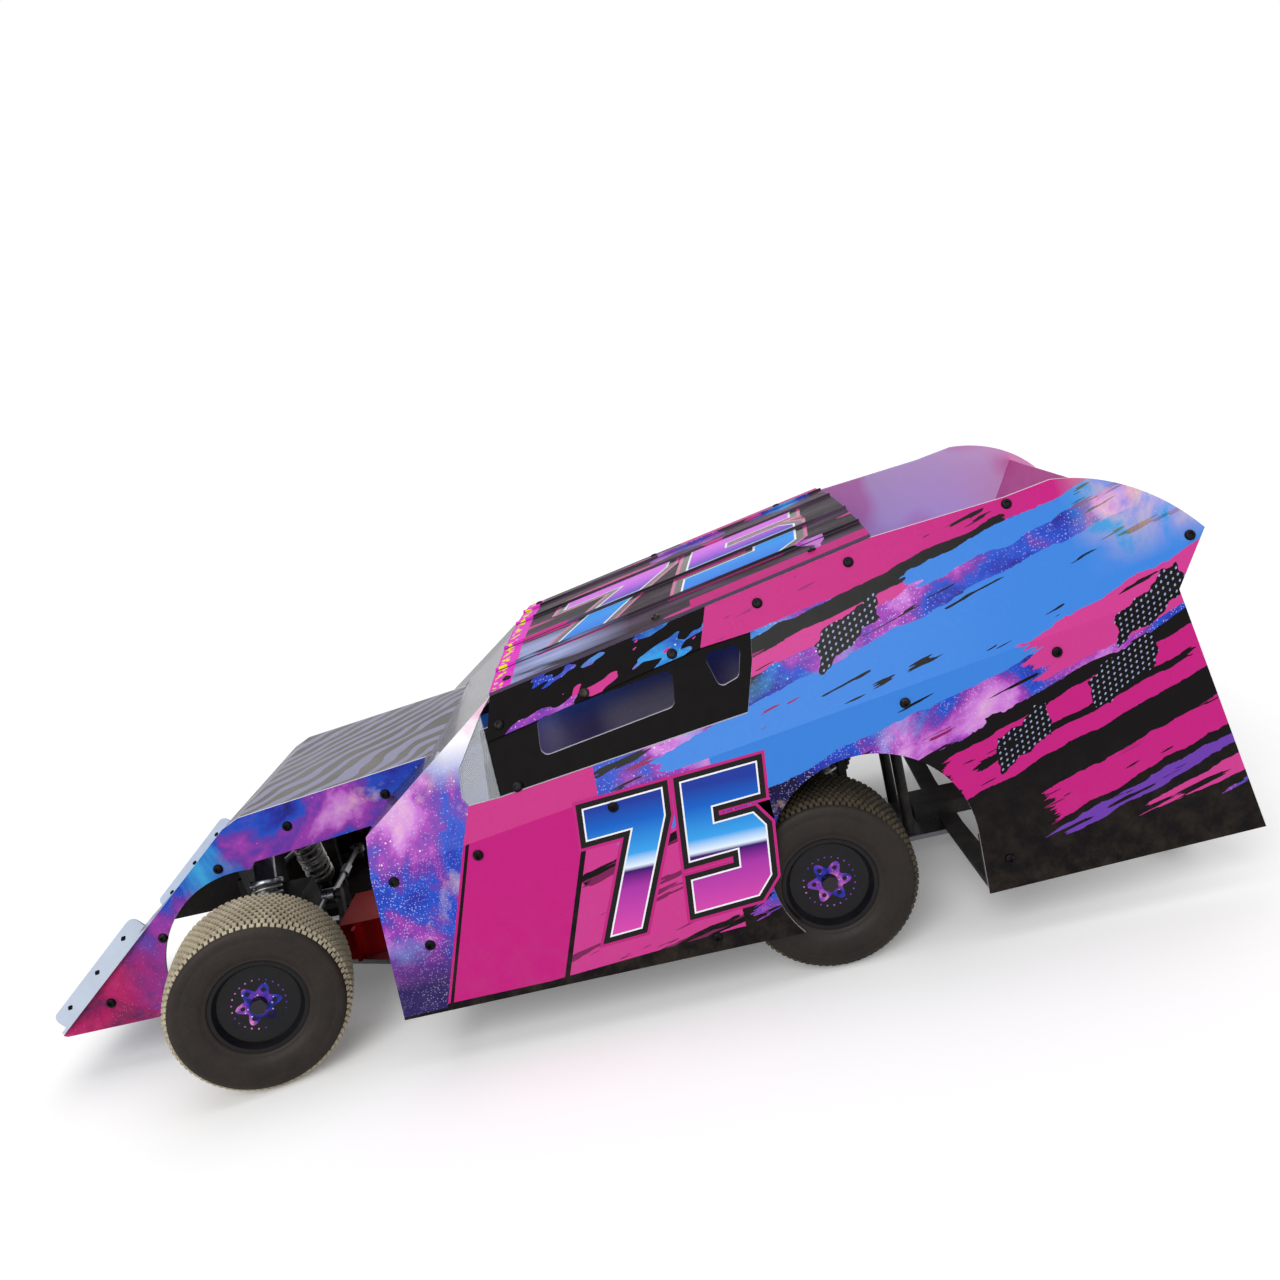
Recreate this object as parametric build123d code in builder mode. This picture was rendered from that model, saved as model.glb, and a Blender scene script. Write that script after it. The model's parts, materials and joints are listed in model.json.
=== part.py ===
from build123d import *
from math import cos, radians, sin
import os

# A tenth-scale radio-controlled dirt-oval modified.
# Millimetres. X points to the car's left, Y to its rear, Z up.
# The origin is on the ground under the middle of the car's overall length.

os.makedirs("parts", exist_ok=True)

SIDES = (("left", 1), ("right", -1))

# Wheels and tyres
TYRE_RADIUS = 43.0
TYRE_WIDTH = 42.0
TREAD_WIDTH = 34.0
SHOULDER_DROP = 0.8
RIM_RADIUS = 22.5
RIM_WIDTH = 36.0
RIM_WALL = 1.8
BEAD_WIDTH = 4.0
DISH_DEPTH = 3.5
HUB_RADIUS = 7.0
HUB_LENGTH = 16.0
AXLE_RADIUS = 2.5
BEARING_CLEARANCE = 0.05
AXLE_Z = TYRE_RADIUS
NUT_RADIUS = 4.0
NUT_HEIGHT = 3.5

# Axles and steering
FRONT_AXLE_Y = -188.5
WHEELBASE = 285.0
REAR_AXLE_Y = FRONT_AXLE_Y + WHEELBASE
KINGPIN_X = 66.0
WHEEL_OFFSET = 29.5
REAR_WHEEL_X = 96.5
STEER = 14.0
STEER_ARM = 15.0
KINGPIN_RADIUS = 2.0
KNUCKLE_HEIGHT = 16.0
KNUCKLE_RADIUS = 5.0
EAR_THICKNESS = 3.5
EAR_GAP = 0.3
ARM_BAR = 3.5
TIE_ROD_RADIUS = 1.6
ROD_EYE_RADIUS = 4.4
ROD_EYE_THICKNESS = 3.4
ROD_STACK_GAP = 0.4
STUD_RADIUS = 1.5
OPEN_PIVOT_GAP = 1.1

# Chassis
CHASSIS_Z = 16.0
CHASSIS_THICKNESS = 2.5
CHASSIS_TOP = CHASSIS_Z + CHASSIS_THICKNESS
CHASSIS_FRONT_Y = -246.0
CHASSIS_REAR_Y = 178.0
CHASSIS_HALF_WIDTH = 52.0
CHASSIS_NOSE_HALF_WIDTH = 26.0
CHASSIS_TAIL_HALF_WIDTH = 30.0

# Suspension
BULKHEAD_HALF_WIDTH = 18.0
BULKHEAD_FRONT = 12.0
BULKHEAD_REAR = 6.0
BULKHEAD_TOP = 54.0
ARM_Z = 24.5
ARM_THICKNESS = 5.0
ARM_ROOT_LENGTH = 38.0
ARM_TIP_LENGTH = 15.0
CARRIER_WALL = 4.0
CARRIER_BACK_X = KINGPIN_X - KNUCKLE_RADIUS - 2.0
ARM_TIP_X = CARRIER_BACK_X - CARRIER_WALL
LINK_RADIUS = 1.5
LINK_EYE_RADIUS = 3.0
CARRIER_HALF_LENGTH = 7.0
TOWER_THICKNESS = 4.0
FRONT_TOWER_TOP = 96.0
REAR_TOWER_TOP = 112.0
TOWER_HALF_WIDTH = 30.0
SHOCK_RADIUS = 5.5
SHOCK_SHAFT_RADIUS = 1.6
SPRING_RADIUS = 8.0
SPRING_COILS = 8
SHOCK_EYE_RADIUS = 3.6
SHOCK_EYE_LENGTH = 6.0
SHOCK_CLEARANCE = 2.0
SHOCK_HEAD_INSET = 6.0
FRONT_SHOCK_FOOT_X = 49.0
FRONT_SHOCK_HEAD_X = 24.0
REAR_SHOCK_FOOT_X = 50.0
REAR_SHOCK_HEAD_X = 25.0

# Drive, power and steering units
GEARBOX_HALF_WIDTH = 19.0
GEARBOX_LENGTH = 44.0
GEARBOX_TOP = 66.0
MOTOR_RADIUS = 18.0
MOTOR_LENGTH = 50.0
DRIVE_SHAFT_RADIUS = 2.0
SERVO_LENGTH = 40.0
SERVO_WIDTH = 20.0
SERVO_DEPTH = 38.0
SERVO_SHAFT_INSET = 10.0
SERVO_GAP = 5.0
HORN_THICKNESS = 3.0
HORN_CLEARANCE = 0.9
GEARBOX_FRONT = 24.0
MOTOR_GAP = 1.0
MOTOR_RIGHT_END = -30.0
BATTERY = (47.0, 96.0, 25.0)
BATTERY_X = -14.0
BATTERY_GAP = 1.5
SPEED_CONTROLLER = (34.0, 38.0, 20.0)
CONTROLLER_GAP = 5.5
CONTROLLER_SETBACK = 1.0

# Body shell
PANEL = 1.5
BAND_LOW = -140.0
BAND_HIGH = 140.0
SIDE_X = 122.0
SILL_Z = 26.0
FOLD_Z = 111.5
FOLD_SLOPE = 0.137
LEAN = 0.44
NOSE_HALF_WIDTH = 64.0
NOSE_TIP = (-298.0, 27.0)
NOSE_BEND = (-190.5, 116.0)
HOOD_FRONT = (-181.5, 120.0)
HOOD_REAR = (-80.0, 130.6)
ROOF_FRONT = (-39.5, 162.0)
ROOF_REAR = (148.0, 196.5)
ROOF_CROWN = 4.0
ROOF_BEAD = 1.6
ARCH_Y = 119.0
ARCH_Z = 56.0
ARCH_RADIUS = 49.0
FRONT_ARCH_RADIUS = 50.0
DOOR_REAR_Y = 54.0
TAIL = (300.5, 28.5)
WAIST_Y = 275.5
PILLAR_FRONT_Y = -109.5
PILLAR_TIP = (-106.5, 114.0)
DECK_DROP = 4.0
SPOILER_FOOT_Y = 254.0
SPOILER_TOP = (273.0, 188.0)
NOSE_PLATE_LENGTH = 80.0
NOSE_PLATE_OVERHANG = 2.5
BRACE_WIDTH = 10.0
BRACE_HEIGHT = 26.0
BRACE_WALL = 3.0
BRACE_OVER_SILL = 1.5
NOSE_BRACE_HEIGHT = 24.0
POST_RADIUS = 3.0
POST_GAP = 0.6
BUMPER_FRONT_Y = 156.0
BUMPER_REAR_Y = 285.0
BUMPER_BOOM_HALF_WIDTH = 12.0
BUMPER_WIDTH = 150.0
BUMPER_BAR = 14.0
BUMPER_HEIGHT = 8.0

# Upper links, each as inner eye start, eye direction, eye length, height of the outer eye's base,
# rod start and rod end
CARRIER_TOP = AXLE_Z + KNUCKLE_HEIGHT / 2 + EAR_GAP + EAR_THICKNESS + 5
REAR_CARRIER_TOP = AXLE_Z + 16
LINK_OUTER_EYE_RADIUS = 2.5
LINK_EYE_HEIGHT = 4.0
FRONT_TOWER_FACE = FRONT_AXLE_Y - BULKHEAD_FRONT - TOWER_THICKNESS
CAMBER_LINKS = (
    (
        (22, FRONT_TOWER_FACE, 57), (0, -1, 0), 6, CARRIER_TOP,
        (22, FRONT_TOWER_FACE - 4, 57), (57, FRONT_AXLE_Y - 4, CARRIER_TOP + 2),
    ),
    (
        (GEARBOX_HALF_WIDTH, REAR_AXLE_Y - 11.5, 56), (1, 0, 0), 5, REAR_CARRIER_TOP,
        (22, REAR_AXLE_Y - 12, 57), (59, REAR_AXLE_Y - 3, REAR_CARRIER_TOP + 2),
    ),
)

# Accessory holes in the chassis plate, between the servo and the battery
HOLE_RADIUS = 1.6
HOLE_CENTRE_Y = -92.0
HOLE_SPACING = (36.0, 24.0)


def finish(piece, name):
    piece.part.label = name
    export_step(piece.part, f"parts/{name}.step")


def finish_pair(piece, name):
    finish(piece, f"{name}_left")
    with BuildPart() as twin:
        mirror(piece.part, about=Plane.YZ)
    finish(twin, f"{name}_right")


def between(start, end, y):
    # Height at y on the straight line between two (y, z) points.
    return start[1] + (end[1] - start[1]) * (y - start[0]) / (end[0] - start[0])


def fold_z(y):
    return FOLD_Z + FOLD_SLOPE * y


def deck_z(y):
    return fold_z(y) - DECK_DROP


def side_x(y, z):
    return SIDE_X - LEAN * max(0.0, z - fold_z(y))


def roof_z(y):
    return between(ROOF_FRONT, ROOF_REAR, y)


def along_fold(points, mode=Mode.INTERSECT):
    # Keeps what lies inside a cross-section that runs along the slope of the body's fold.
    # The points are (x, height above the fold).
    start_y = -350.0
    with BuildSketch(Plane.XZ.offset(-start_y)) as band:
        Polygon(*[(x, fold_z(start_y) + height) for x, height in points], align=None)
    extrude(band.sketch, amount=750, dir=(0, 1, FOLD_SLOPE), mode=mode)


def side_skin(depth=0.0, wall=PANEL):
    # The folded wall of the left side: upright below the fold, leaning in above it.
    low, high = BAND_LOW, BAND_HIGH
    outer = SIDE_X - depth
    inner = outer - wall
    along_fold([
        (outer, low), (outer, 0), (outer - LEAN * high, high),
        (inner - LEAN * high, high), (inner, 0), (inner, low),
    ])


def inside_shell(depth=PANEL):
    # The space between the two sides.
    low, high = BAND_LOW, BAND_HIGH
    half = SIDE_X - depth
    top = half - LEAN * high
    along_fold([(half, low), (half, 0), (top, high), (-top, high), (-half, 0), (-half, low)])


def strip(start, end, thickness):
    # A straight sheet in the side view, as four (y, z) corners, its face on the line given.
    length = ((end[0] - start[0]) ** 2 + (end[1] - start[1]) ** 2) ** 0.5
    down_y = (end[1] - start[1]) / length * thickness
    down_z = -(end[0] - start[0]) / length * thickness
    return [start, end, (end[0] + down_y, end[1] + down_z), (start[0] + down_y, start[1] + down_z)]


# Side view outlines that neighbouring panels share, as (y, z)
DOOR_FOOT = (-89.5, SILL_Z)
DOOR_HEAD = (-57.5, 118.5)
DOOR_SLOPE = (DOOR_HEAD[0] - DOOR_FOOT[0]) / (DOOR_HEAD[1] - DOOR_FOOT[1])
DOOR_FOLD_Y = (DOOR_FOOT[0] + DOOR_SLOPE * (FOLD_Z - SILL_Z)) / (1 - DOOR_SLOPE * FOLD_SLOPE)
DOOR_FOLD = (DOOR_FOLD_Y, fold_z(DOOR_FOLD_Y))
DOOR_REAR_TOP = (DOOR_REAR_Y, fold_z(DOOR_REAR_Y))
CORNER_TOP = (-45.5, 155.0)
CORNER_EDGE = [(-59.5, 134.0), (-60.0, 122.0)]
WINDOW_FRONT_FOOT = (-42.5, 119.5)
WINDOW_FRONT_HEAD = (-44.5, 143.0)
WINDOW_REAR_FOOT = (75.5, 134.0)
WINDOW_REAR = [(82.5, 155.0), (84.5, 167.0)]
VISOR_FOOT = (60.5, 164.5)
VISOR_HEAD = (66.5, roof_z(66.5))
SAIL_TIP = (294.5, 172.5)
SAIL_SHOULDER = (275.5, 191.0)
SAIL_TOP = (234.0, 205.5)

# Pillar panel: the front quarter behind the wheel, rising to the roof corner
with BuildPart() as pillar_panel:
    with BuildSketch(Plane.YZ):
        Polygon(
            (PILLAR_FRONT_Y, SILL_Z), PILLAR_TIP, ROOF_FRONT, CORNER_TOP, *CORNER_EDGE, DOOR_HEAD, DOOR_FOOT,
            align=None,
        )
    extrude(amount=SIDE_X)
    side_skin()
finish_pair(pillar_panel, "pillar_panel")

# Door: the flat number panel between the fold and the sill
with BuildPart() as door:
    with BuildSketch(Plane.YZ):
        Polygon(DOOR_FOOT, DOOR_FOLD, DOOR_REAR_TOP, (DOOR_REAR_Y, SILL_Z), align=None)
    extrude(amount=SIDE_X)
    side_skin()
finish_pair(door, "door")

# Quarter: the waist band under the window, the wheel arch, the tail and the tall sail
with BuildPart() as quarter:
    with BuildSketch(Plane.YZ):
        with BuildLine():
            Polyline(
                DOOR_FOLD, DOOR_REAR_TOP, (DOOR_REAR_Y, SILL_Z), (ARCH_Y + ARCH_RADIUS, SILL_Z - 1), TAIL,
                (WAIST_Y, fold_z(WAIST_Y)), SAIL_TIP,
            )
            ThreePointArc(SAIL_TIP, SAIL_SHOULDER, SAIL_TOP)
            Polyline(
                SAIL_TOP, (212.0, 202.0), ROOF_REAR, VISOR_HEAD, VISOR_FOOT, *reversed(WINDOW_REAR),
                WINDOW_REAR_FOOT, WINDOW_FRONT_FOOT, DOOR_HEAD, DOOR_FOLD,
            )
        make_face()
        with Locations((ARCH_Y, ARCH_Z)):
            Circle(ARCH_RADIUS, mode=Mode.SUBTRACT)
        with Locations((ARCH_Y + 7, ARCH_Z - ARCH_RADIUS)):
            Rectangle(2 * ARCH_RADIUS - 14, 2 * ARCH_RADIUS, mode=Mode.SUBTRACT)
    extrude(amount=SIDE_X)
    side_skin()
finish_pair(quarter, "quarter")

# Visor: the strip that hangs from the roof edge over the window
with BuildPart() as window_visor:
    with BuildSketch(Plane.YZ):
        Polygon(ROOF_FRONT, VISOR_HEAD, VISOR_FOOT, WINDOW_FRONT_HEAD, align=None)
    extrude(amount=SIDE_X)
    side_skin()
finish_pair(window_visor, "window_visor")

# Clear corner pieces between pillar and window
with BuildPart() as window_corners:
    with BuildSketch(Plane.YZ):
        Polygon(CORNER_TOP, *CORNER_EDGE, DOOR_HEAD, WINDOW_FRONT_FOOT, WINDOW_FRONT_HEAD, align=None)
    extrude(amount=SIDE_X)
    side_skin()
    mirror(about=Plane.YZ)
finish(window_corners, "window_corners")

# Window guard: the dark inner panel with two slots, lapped behind the opening
with BuildPart() as window_guard:
    with BuildSketch(Plane.YZ):
        Polygon((-48, 114.5), (78, 129.5), (87, 155), (89, 171), (58, 169), (-47, 148), align=None)
        with BuildSketch(mode=Mode.SUBTRACT) as wide_slot:
            Polygon((-21, 132), (43.5, 142), (46, 158), (-20, 148.5), align=None)
            fillet(wide_slot.vertices(), 3.5)
        with BuildSketch(mode=Mode.SUBTRACT) as small_slot:
            Polygon((65.5, 146), (75, 149), (79, 163), (61, 161), align=None)
            fillet(small_slot.vertices(), 3)
    extrude(amount=SIDE_X)
    side_skin(depth=PANEL)
finish_pair(window_guard, "window_guard")

# Nose side: the wheel arch and the band over the front wheel, down to the deck behind it
with BuildPart() as nose_side:
    with BuildSketch(Plane.YZ.offset(NOSE_HALF_WIDTH - PANEL)):
        Polygon(
            NOSE_TIP, NOSE_BEND, HOOD_FRONT, HOOD_REAR, (HOOD_REAR[0], deck_z(HOOD_REAR[0])),
            (PILLAR_TIP[0], deck_z(PILLAR_TIP[0])), (-119.5, 101.5), (-156, 98), (-180, 96),
            (FRONT_AXLE_Y - 38, SILL_Z), (NOSE_TIP[0] + 2, SILL_Z), align=None,
        )
        with Locations((FRONT_AXLE_Y, AXLE_Z)):
            Circle(FRONT_ARCH_RADIUS, mode=Mode.SUBTRACT)
    extrude(amount=PANEL)
finish_pair(nose_side, "nose_side")

# Hood: one bent sheet, up the nose slope and back to the windscreen, between the nose sides
with BuildPart() as hood:
    with BuildSketch(Plane.YZ):
        with BuildLine():
            Polyline(NOSE_TIP, NOSE_BEND, HOOD_FRONT, HOOD_REAR)
            offset(amount=PANEL, side=Side.RIGHT)
        make_face()
    extrude(amount=NOSE_HALF_WIDTH - PANEL, both=True)
finish(hood, "hood")

# Nose plate: the pale rubbing plate on the front of the nose
with BuildPart() as nose_plate:
    slope = Vector(0, NOSE_BEND[0] - NOSE_TIP[0], NOSE_BEND[1] - NOSE_TIP[1]).normalized()
    plate_plane = Plane(origin=(0, *NOSE_TIP), x_dir=(1, 0, 0), z_dir=Vector(1, 0, 0).cross(slope))
    with BuildSketch(plate_plane) as outline:
        with Locations((0, NOSE_PLATE_LENGTH / 2 - 2)):
            RectangleRounded(2 * (NOSE_HALF_WIDTH + NOSE_PLATE_OVERHANG), NOSE_PLATE_LENGTH, 9)
    extrude(amount=PANEL)
finish(nose_plate, "nose_plate")

# Windscreen: the smoky sheet from the pillar tips to the roof, notched round the hood
with BuildPart() as windscreen:
    with BuildSketch(Plane.YZ):
        Polygon(*strip(PILLAR_TIP, ROOF_FRONT, PANEL), align=None)
    extrude(amount=SIDE_X, both=True)
    inside_shell()
    with BuildSketch(Plane.XY):
        with Locations((0, HOOD_REAR[0] - 50)):
            Rectangle(2 * NOSE_HALF_WIDTH, 100)
    extrude(amount=200, mode=Mode.SUBTRACT)
finish(windscreen, "windscreen")

# Roof: a crowned sheet with pressed beads, resting on the top edges of the sides
with BuildPart() as roof:
    roof_slope = (0, ROOF_REAR[0] - ROOF_FRONT[0], ROOF_REAR[1] - ROOF_FRONT[1])
    roof_half = side_x(*ROOF_FRONT)
    with BuildSketch(Plane.XZ.offset(-ROOF_FRONT[0])) as section:
        with BuildLine():
            ThreePointArc(
                (-roof_half, ROOF_FRONT[1]), (0, ROOF_FRONT[1] + ROOF_CROWN), (roof_half, ROOF_FRONT[1]),
            )
            Line((roof_half, ROOF_FRONT[1]), (roof_half, ROOF_FRONT[1] + PANEL))
            ThreePointArc(
                (roof_half, ROOF_FRONT[1] + PANEL), (0, ROOF_FRONT[1] + ROOF_CROWN + PANEL),
                (-roof_half, ROOF_FRONT[1] + PANEL),
            )
            Line((-roof_half, ROOF_FRONT[1] + PANEL), (-roof_half, ROOF_FRONT[1]))
        make_face()
        for bead_x, bead_drop in ((28, 0.35), (-28, 0.35), (66, 1.9), (-66, 1.9)):
            with Locations((bead_x, ROOF_FRONT[1] + ROOF_CROWN + PANEL - bead_drop)):
                Circle(ROOF_BEAD)
    extrude(section.sketch, amount=Vector(*roof_slope).length, dir=roof_slope)
    with BuildSketch(Plane.XY):
        rear_half = side_x(*ROOF_REAR)
        Polygon(
            (-roof_half, ROOF_FRONT[0]), (roof_half, ROOF_FRONT[0]), (rear_half, ROOF_REAR[0]),
            (-rear_half, ROOF_REAR[0]), align=None,
        )
    extrude(amount=300, mode=Mode.INTERSECT)
finish(roof, "roof")

# Deck: the flat interior floor, from the pillar tips to the waist at the tail
with BuildPart() as deck:
    with BuildSketch(Plane.YZ):
        front_y, rear_y = PILLAR_TIP[0], WAIST_Y - 2
        Polygon(
            (front_y, deck_z(front_y)), (rear_y, deck_z(rear_y)),
            (rear_y, deck_z(rear_y) - PANEL), (front_y, deck_z(front_y) - PANEL), align=None,
        )
    extrude(amount=SIDE_X, both=True)
    inside_shell()
finish(deck, "deck")

# Spoiler: the cross sheet between the sails
with BuildPart() as spoiler:
    with BuildSketch(Plane.YZ):
        Polygon(*strip((SPOILER_FOOT_Y, deck_z(SPOILER_FOOT_Y)), SPOILER_TOP, -PANEL), align=None)
    extrude(amount=SIDE_X, both=True)
    inside_shell()
finish(spoiler, "spoiler")

# Chassis: one flat plate, narrow at the nose and the tail
with BuildPart() as chassis_plate:
    with BuildSketch(Plane.XY.offset(CHASSIS_Z)) as plan:
        with BuildLine():
            Polyline(
                (0, CHASSIS_FRONT_Y), (CHASSIS_NOSE_HALF_WIDTH, CHASSIS_FRONT_Y),
                (CHASSIS_NOSE_HALF_WIDTH, FRONT_AXLE_Y + 20), (CHASSIS_HALF_WIDTH, -110),
                (CHASSIS_HALF_WIDTH, 20), (CHASSIS_TAIL_HALF_WIDTH, REAR_AXLE_Y - 40),
                (CHASSIS_TAIL_HALF_WIDTH, CHASSIS_REAR_Y), (0, CHASSIS_REAR_Y),
            )
            mirror(about=Plane.YZ)
        make_face()
        fillet(plan.vertices().filter_by(lambda corner: abs(corner.X) > 1), 6)
        with Locations((0, HOLE_CENTRE_Y)):
            with GridLocations(*HOLE_SPACING, 2, 2):
                Circle(HOLE_RADIUS, mode=Mode.SUBTRACT)
    extrude(amount=CHASSIS_THICKNESS)
finish(chassis_plate, "chassis_plate")

# Front bulkhead: the moulded block that carries arms and tower
with BuildPart() as front_bulkhead:
    with BuildSketch(Plane.XZ.offset(-(FRONT_AXLE_Y + BULKHEAD_REAR))):
        Polygon(
            (-BULKHEAD_HALF_WIDTH, CHASSIS_TOP), (BULKHEAD_HALF_WIDTH, CHASSIS_TOP),
            (BULKHEAD_HALF_WIDTH, 36), (11, BULKHEAD_TOP), (-11, BULKHEAD_TOP), (-BULKHEAD_HALF_WIDTH, 36),
            align=None,
        )
    extrude(amount=BULKHEAD_FRONT + BULKHEAD_REAR)
finish(front_bulkhead, "front_bulkhead")

# Transaxle case over the rear axle
with BuildPart() as gearbox:
    with BuildSketch(Plane.YZ) as case:
        Polygon(
            (REAR_AXLE_Y - GEARBOX_FRONT, CHASSIS_TOP), (REAR_AXLE_Y - GEARBOX_FRONT, 48),
            (REAR_AXLE_Y - 10, GEARBOX_TOP),
            (REAR_AXLE_Y + 10, GEARBOX_TOP), (REAR_AXLE_Y + GEARBOX_LENGTH / 2, 50),
            (REAR_AXLE_Y + GEARBOX_LENGTH / 2, CHASSIS_TOP), align=None,
        )
        fillet(case.vertices().group_by(Axis.Y)[-1], 6)
    extrude(amount=GEARBOX_HALF_WIDTH, both=True)
finish(gearbox, "gearbox")


def tower(front_y, top_z, foot_z):
    # A shock tower plate: a trapezium with a lightening window.
    with BuildSketch(Plane.XZ.offset(-(front_y + TOWER_THICKNESS))) as plate:
        Polygon(
            (-14, foot_z), (14, foot_z), (TOWER_HALF_WIDTH, top_z - 12), (TOWER_HALF_WIDTH, top_z),
            (-TOWER_HALF_WIDTH, top_z), (-TOWER_HALF_WIDTH, top_z - 12), align=None,
        )
        fillet(plate.vertices(), 3)
        with BuildSketch(mode=Mode.SUBTRACT) as window:
            Polygon((-7, foot_z + 22), (7, foot_z + 22), (14, top_z - 12), (-14, top_z - 12), align=None)
            fillet(window.vertices(), 3)
    extrude(plate.sketch, amount=TOWER_THICKNESS)


front_tower_y = FRONT_AXLE_Y - BULKHEAD_FRONT - TOWER_THICKNESS
rear_tower_y = REAR_AXLE_Y + GEARBOX_LENGTH / 2
with BuildPart() as front_tower:
    tower(front_tower_y, FRONT_TOWER_TOP, CHASSIS_TOP)
finish(front_tower, "front_tower")
with BuildPart() as rear_tower:
    tower(rear_tower_y, REAR_TOWER_TOP, CHASSIS_TOP)
finish(rear_tower, "rear_tower")


def lower_arm(axle_y, root_x):
    # A flat wishbone with a lightening window, root at the block, tip under the carrier.
    with BuildSketch(Plane.XY.offset(ARM_Z)) as plan:
        Polygon(
            (root_x, axle_y - ARM_ROOT_LENGTH / 2), (root_x + 6, axle_y - ARM_ROOT_LENGTH / 2),
            (ARM_TIP_X, axle_y - ARM_TIP_LENGTH / 2), (ARM_TIP_X, axle_y + ARM_TIP_LENGTH / 2),
            (root_x + 6, axle_y + ARM_ROOT_LENGTH / 2), (root_x, axle_y + ARM_ROOT_LENGTH / 2), align=None,
        )
        with BuildSketch(mode=Mode.SUBTRACT) as window:
            Polygon(
                (root_x + 8, axle_y - 11), (ARM_TIP_X - 18, axle_y - 6), (ARM_TIP_X - 18, axle_y + 6),
                (root_x + 8, axle_y + 11), align=None,
            )
            fillet(window.vertices(), 2)
    extrude(plan.sketch, amount=ARM_THICKNESS)


with BuildPart() as front_arm:
    lower_arm(FRONT_AXLE_Y, BULKHEAD_HALF_WIDTH)
finish_pair(front_arm, "front_arm")
with BuildPart() as rear_arm:
    lower_arm(REAR_AXLE_Y, GEARBOX_HALF_WIDTH)
finish_pair(rear_arm, "rear_arm")

# Caster block: the upright with two ears that hold the knuckle's pins
knuckle_low = AXLE_Z - KNUCKLE_HEIGHT / 2
knuckle_high = AXLE_Z + KNUCKLE_HEIGHT / 2

with BuildPart() as caster_block:
    with BuildSketch(Plane.XY.offset(ARM_Z)):
        with Locations((CARRIER_BACK_X - CARRIER_WALL / 2, FRONT_AXLE_Y)):
            Rectangle(CARRIER_WALL, 2 * CARRIER_HALF_LENGTH)
    extrude(amount=CARRIER_TOP - ARM_Z)
    for ear_z in (knuckle_low - EAR_GAP - EAR_THICKNESS, knuckle_high + EAR_GAP):
        with BuildSketch(Plane.XY.offset(ear_z)):
            with BuildLine():
                ear_front_y = FRONT_AXLE_Y - KNUCKLE_RADIUS
                ear_back_y = FRONT_AXLE_Y + KNUCKLE_RADIUS
                CenterArc((KINGPIN_X, FRONT_AXLE_Y), KNUCKLE_RADIUS, -90, 180)
                Polyline(
                    (KINGPIN_X, ear_back_y), (CARRIER_BACK_X, ear_back_y),
                    (CARRIER_BACK_X, ear_front_y), (KINGPIN_X, ear_front_y),
                )
            make_face()
            with Locations((KINGPIN_X, FRONT_AXLE_Y)):
                Circle(KINGPIN_RADIUS + BEARING_CLEARANCE, mode=Mode.SUBTRACT)
        extrude(amount=EAR_THICKNESS)
finish_pair(caster_block, "caster_block")

# Rear hub carrier: the upright that the stub axle turns in
with BuildPart() as rear_hub:
    with BuildSketch(Plane.YZ.offset(ARM_TIP_X)) as face:
        Polygon(
            (REAR_AXLE_Y - 7.5, ARM_Z), (REAR_AXLE_Y + 7.5, ARM_Z), (REAR_AXLE_Y + 9, AXLE_Z),
            (REAR_AXLE_Y + 6, REAR_CARRIER_TOP), (REAR_AXLE_Y - 6, REAR_CARRIER_TOP),
            (REAR_AXLE_Y - 9, AXLE_Z), align=None,
        )
        with Locations((REAR_AXLE_Y, AXLE_Z)):
            Circle(AXLE_RADIUS + BEARING_CLEARANCE, mode=Mode.SUBTRACT)
    extrude(amount=CARRIER_WALL + 11)
    with BuildSketch(Plane.XY):
        with Locations((CARRIER_BACK_X + 8, REAR_AXLE_Y)):
            Rectangle(15.5, 30)
    extrude(amount=ARM_Z + ARM_THICKNESS + 2, mode=Mode.SUBTRACT)
finish_pair(rear_hub, "rear_hub")


def shock(foot, head, tower_face):
    # A coil-over shock: eye and shaft below, ribbed spring over the lower body, body and cap above.
    # Its head eye reaches to the tower's face.
    low_y, high_y = foot[1] - SHOCK_EYE_LENGTH / 2, foot[1] + SHOCK_EYE_LENGTH / 2
    up = Vector(*head) - Vector(*foot)
    length = up.length
    profile_plane = Plane(origin=foot, x_dir=up.normalized().cross(Vector(0, 1, 0)), z_dir=(0, 1, 0))
    spring_low, spring_high = 9.0, length * 0.66
    pitch = (spring_high - spring_low) / SPRING_COILS
    with BuildSketch(profile_plane) as half:
        with BuildLine():
            points = [(0, 0), (SHOCK_SHAFT_RADIUS, 0), (SHOCK_SHAFT_RADIUS, spring_low - 2),
                      (SPRING_RADIUS, spring_low - 2), (SPRING_RADIUS, spring_low)]
            for coil in range(SPRING_COILS):
                base = spring_low + coil * pitch
                points += [(SPRING_RADIUS - 1.6, base + 0.1 * pitch), (SPRING_RADIUS, base + 0.5 * pitch),
                           (SPRING_RADIUS - 1.6, base + 0.9 * pitch)]
            points += [(SPRING_RADIUS + 0.5, spring_high), (SPRING_RADIUS + 0.5, spring_high + 3),
                       (SHOCK_RADIUS, spring_high + 3), (SHOCK_RADIUS, length - 5), (3, length), (0, length)]
            Polyline(*points, close=True)
        make_face()
    revolve(half.sketch, axis=Axis(foot, up))
    for eye, rear_y, front_y in (
        (foot, high_y, low_y), (head, max(high_y, tower_face), min(low_y, tower_face)),
    ):
        with BuildSketch(Plane.XZ.offset(-rear_y)) as ends:
            with Locations((eye[0], eye[2])):
                Circle(SHOCK_EYE_RADIUS)
        extrude(ends.sketch, amount=rear_y - front_y)


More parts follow.
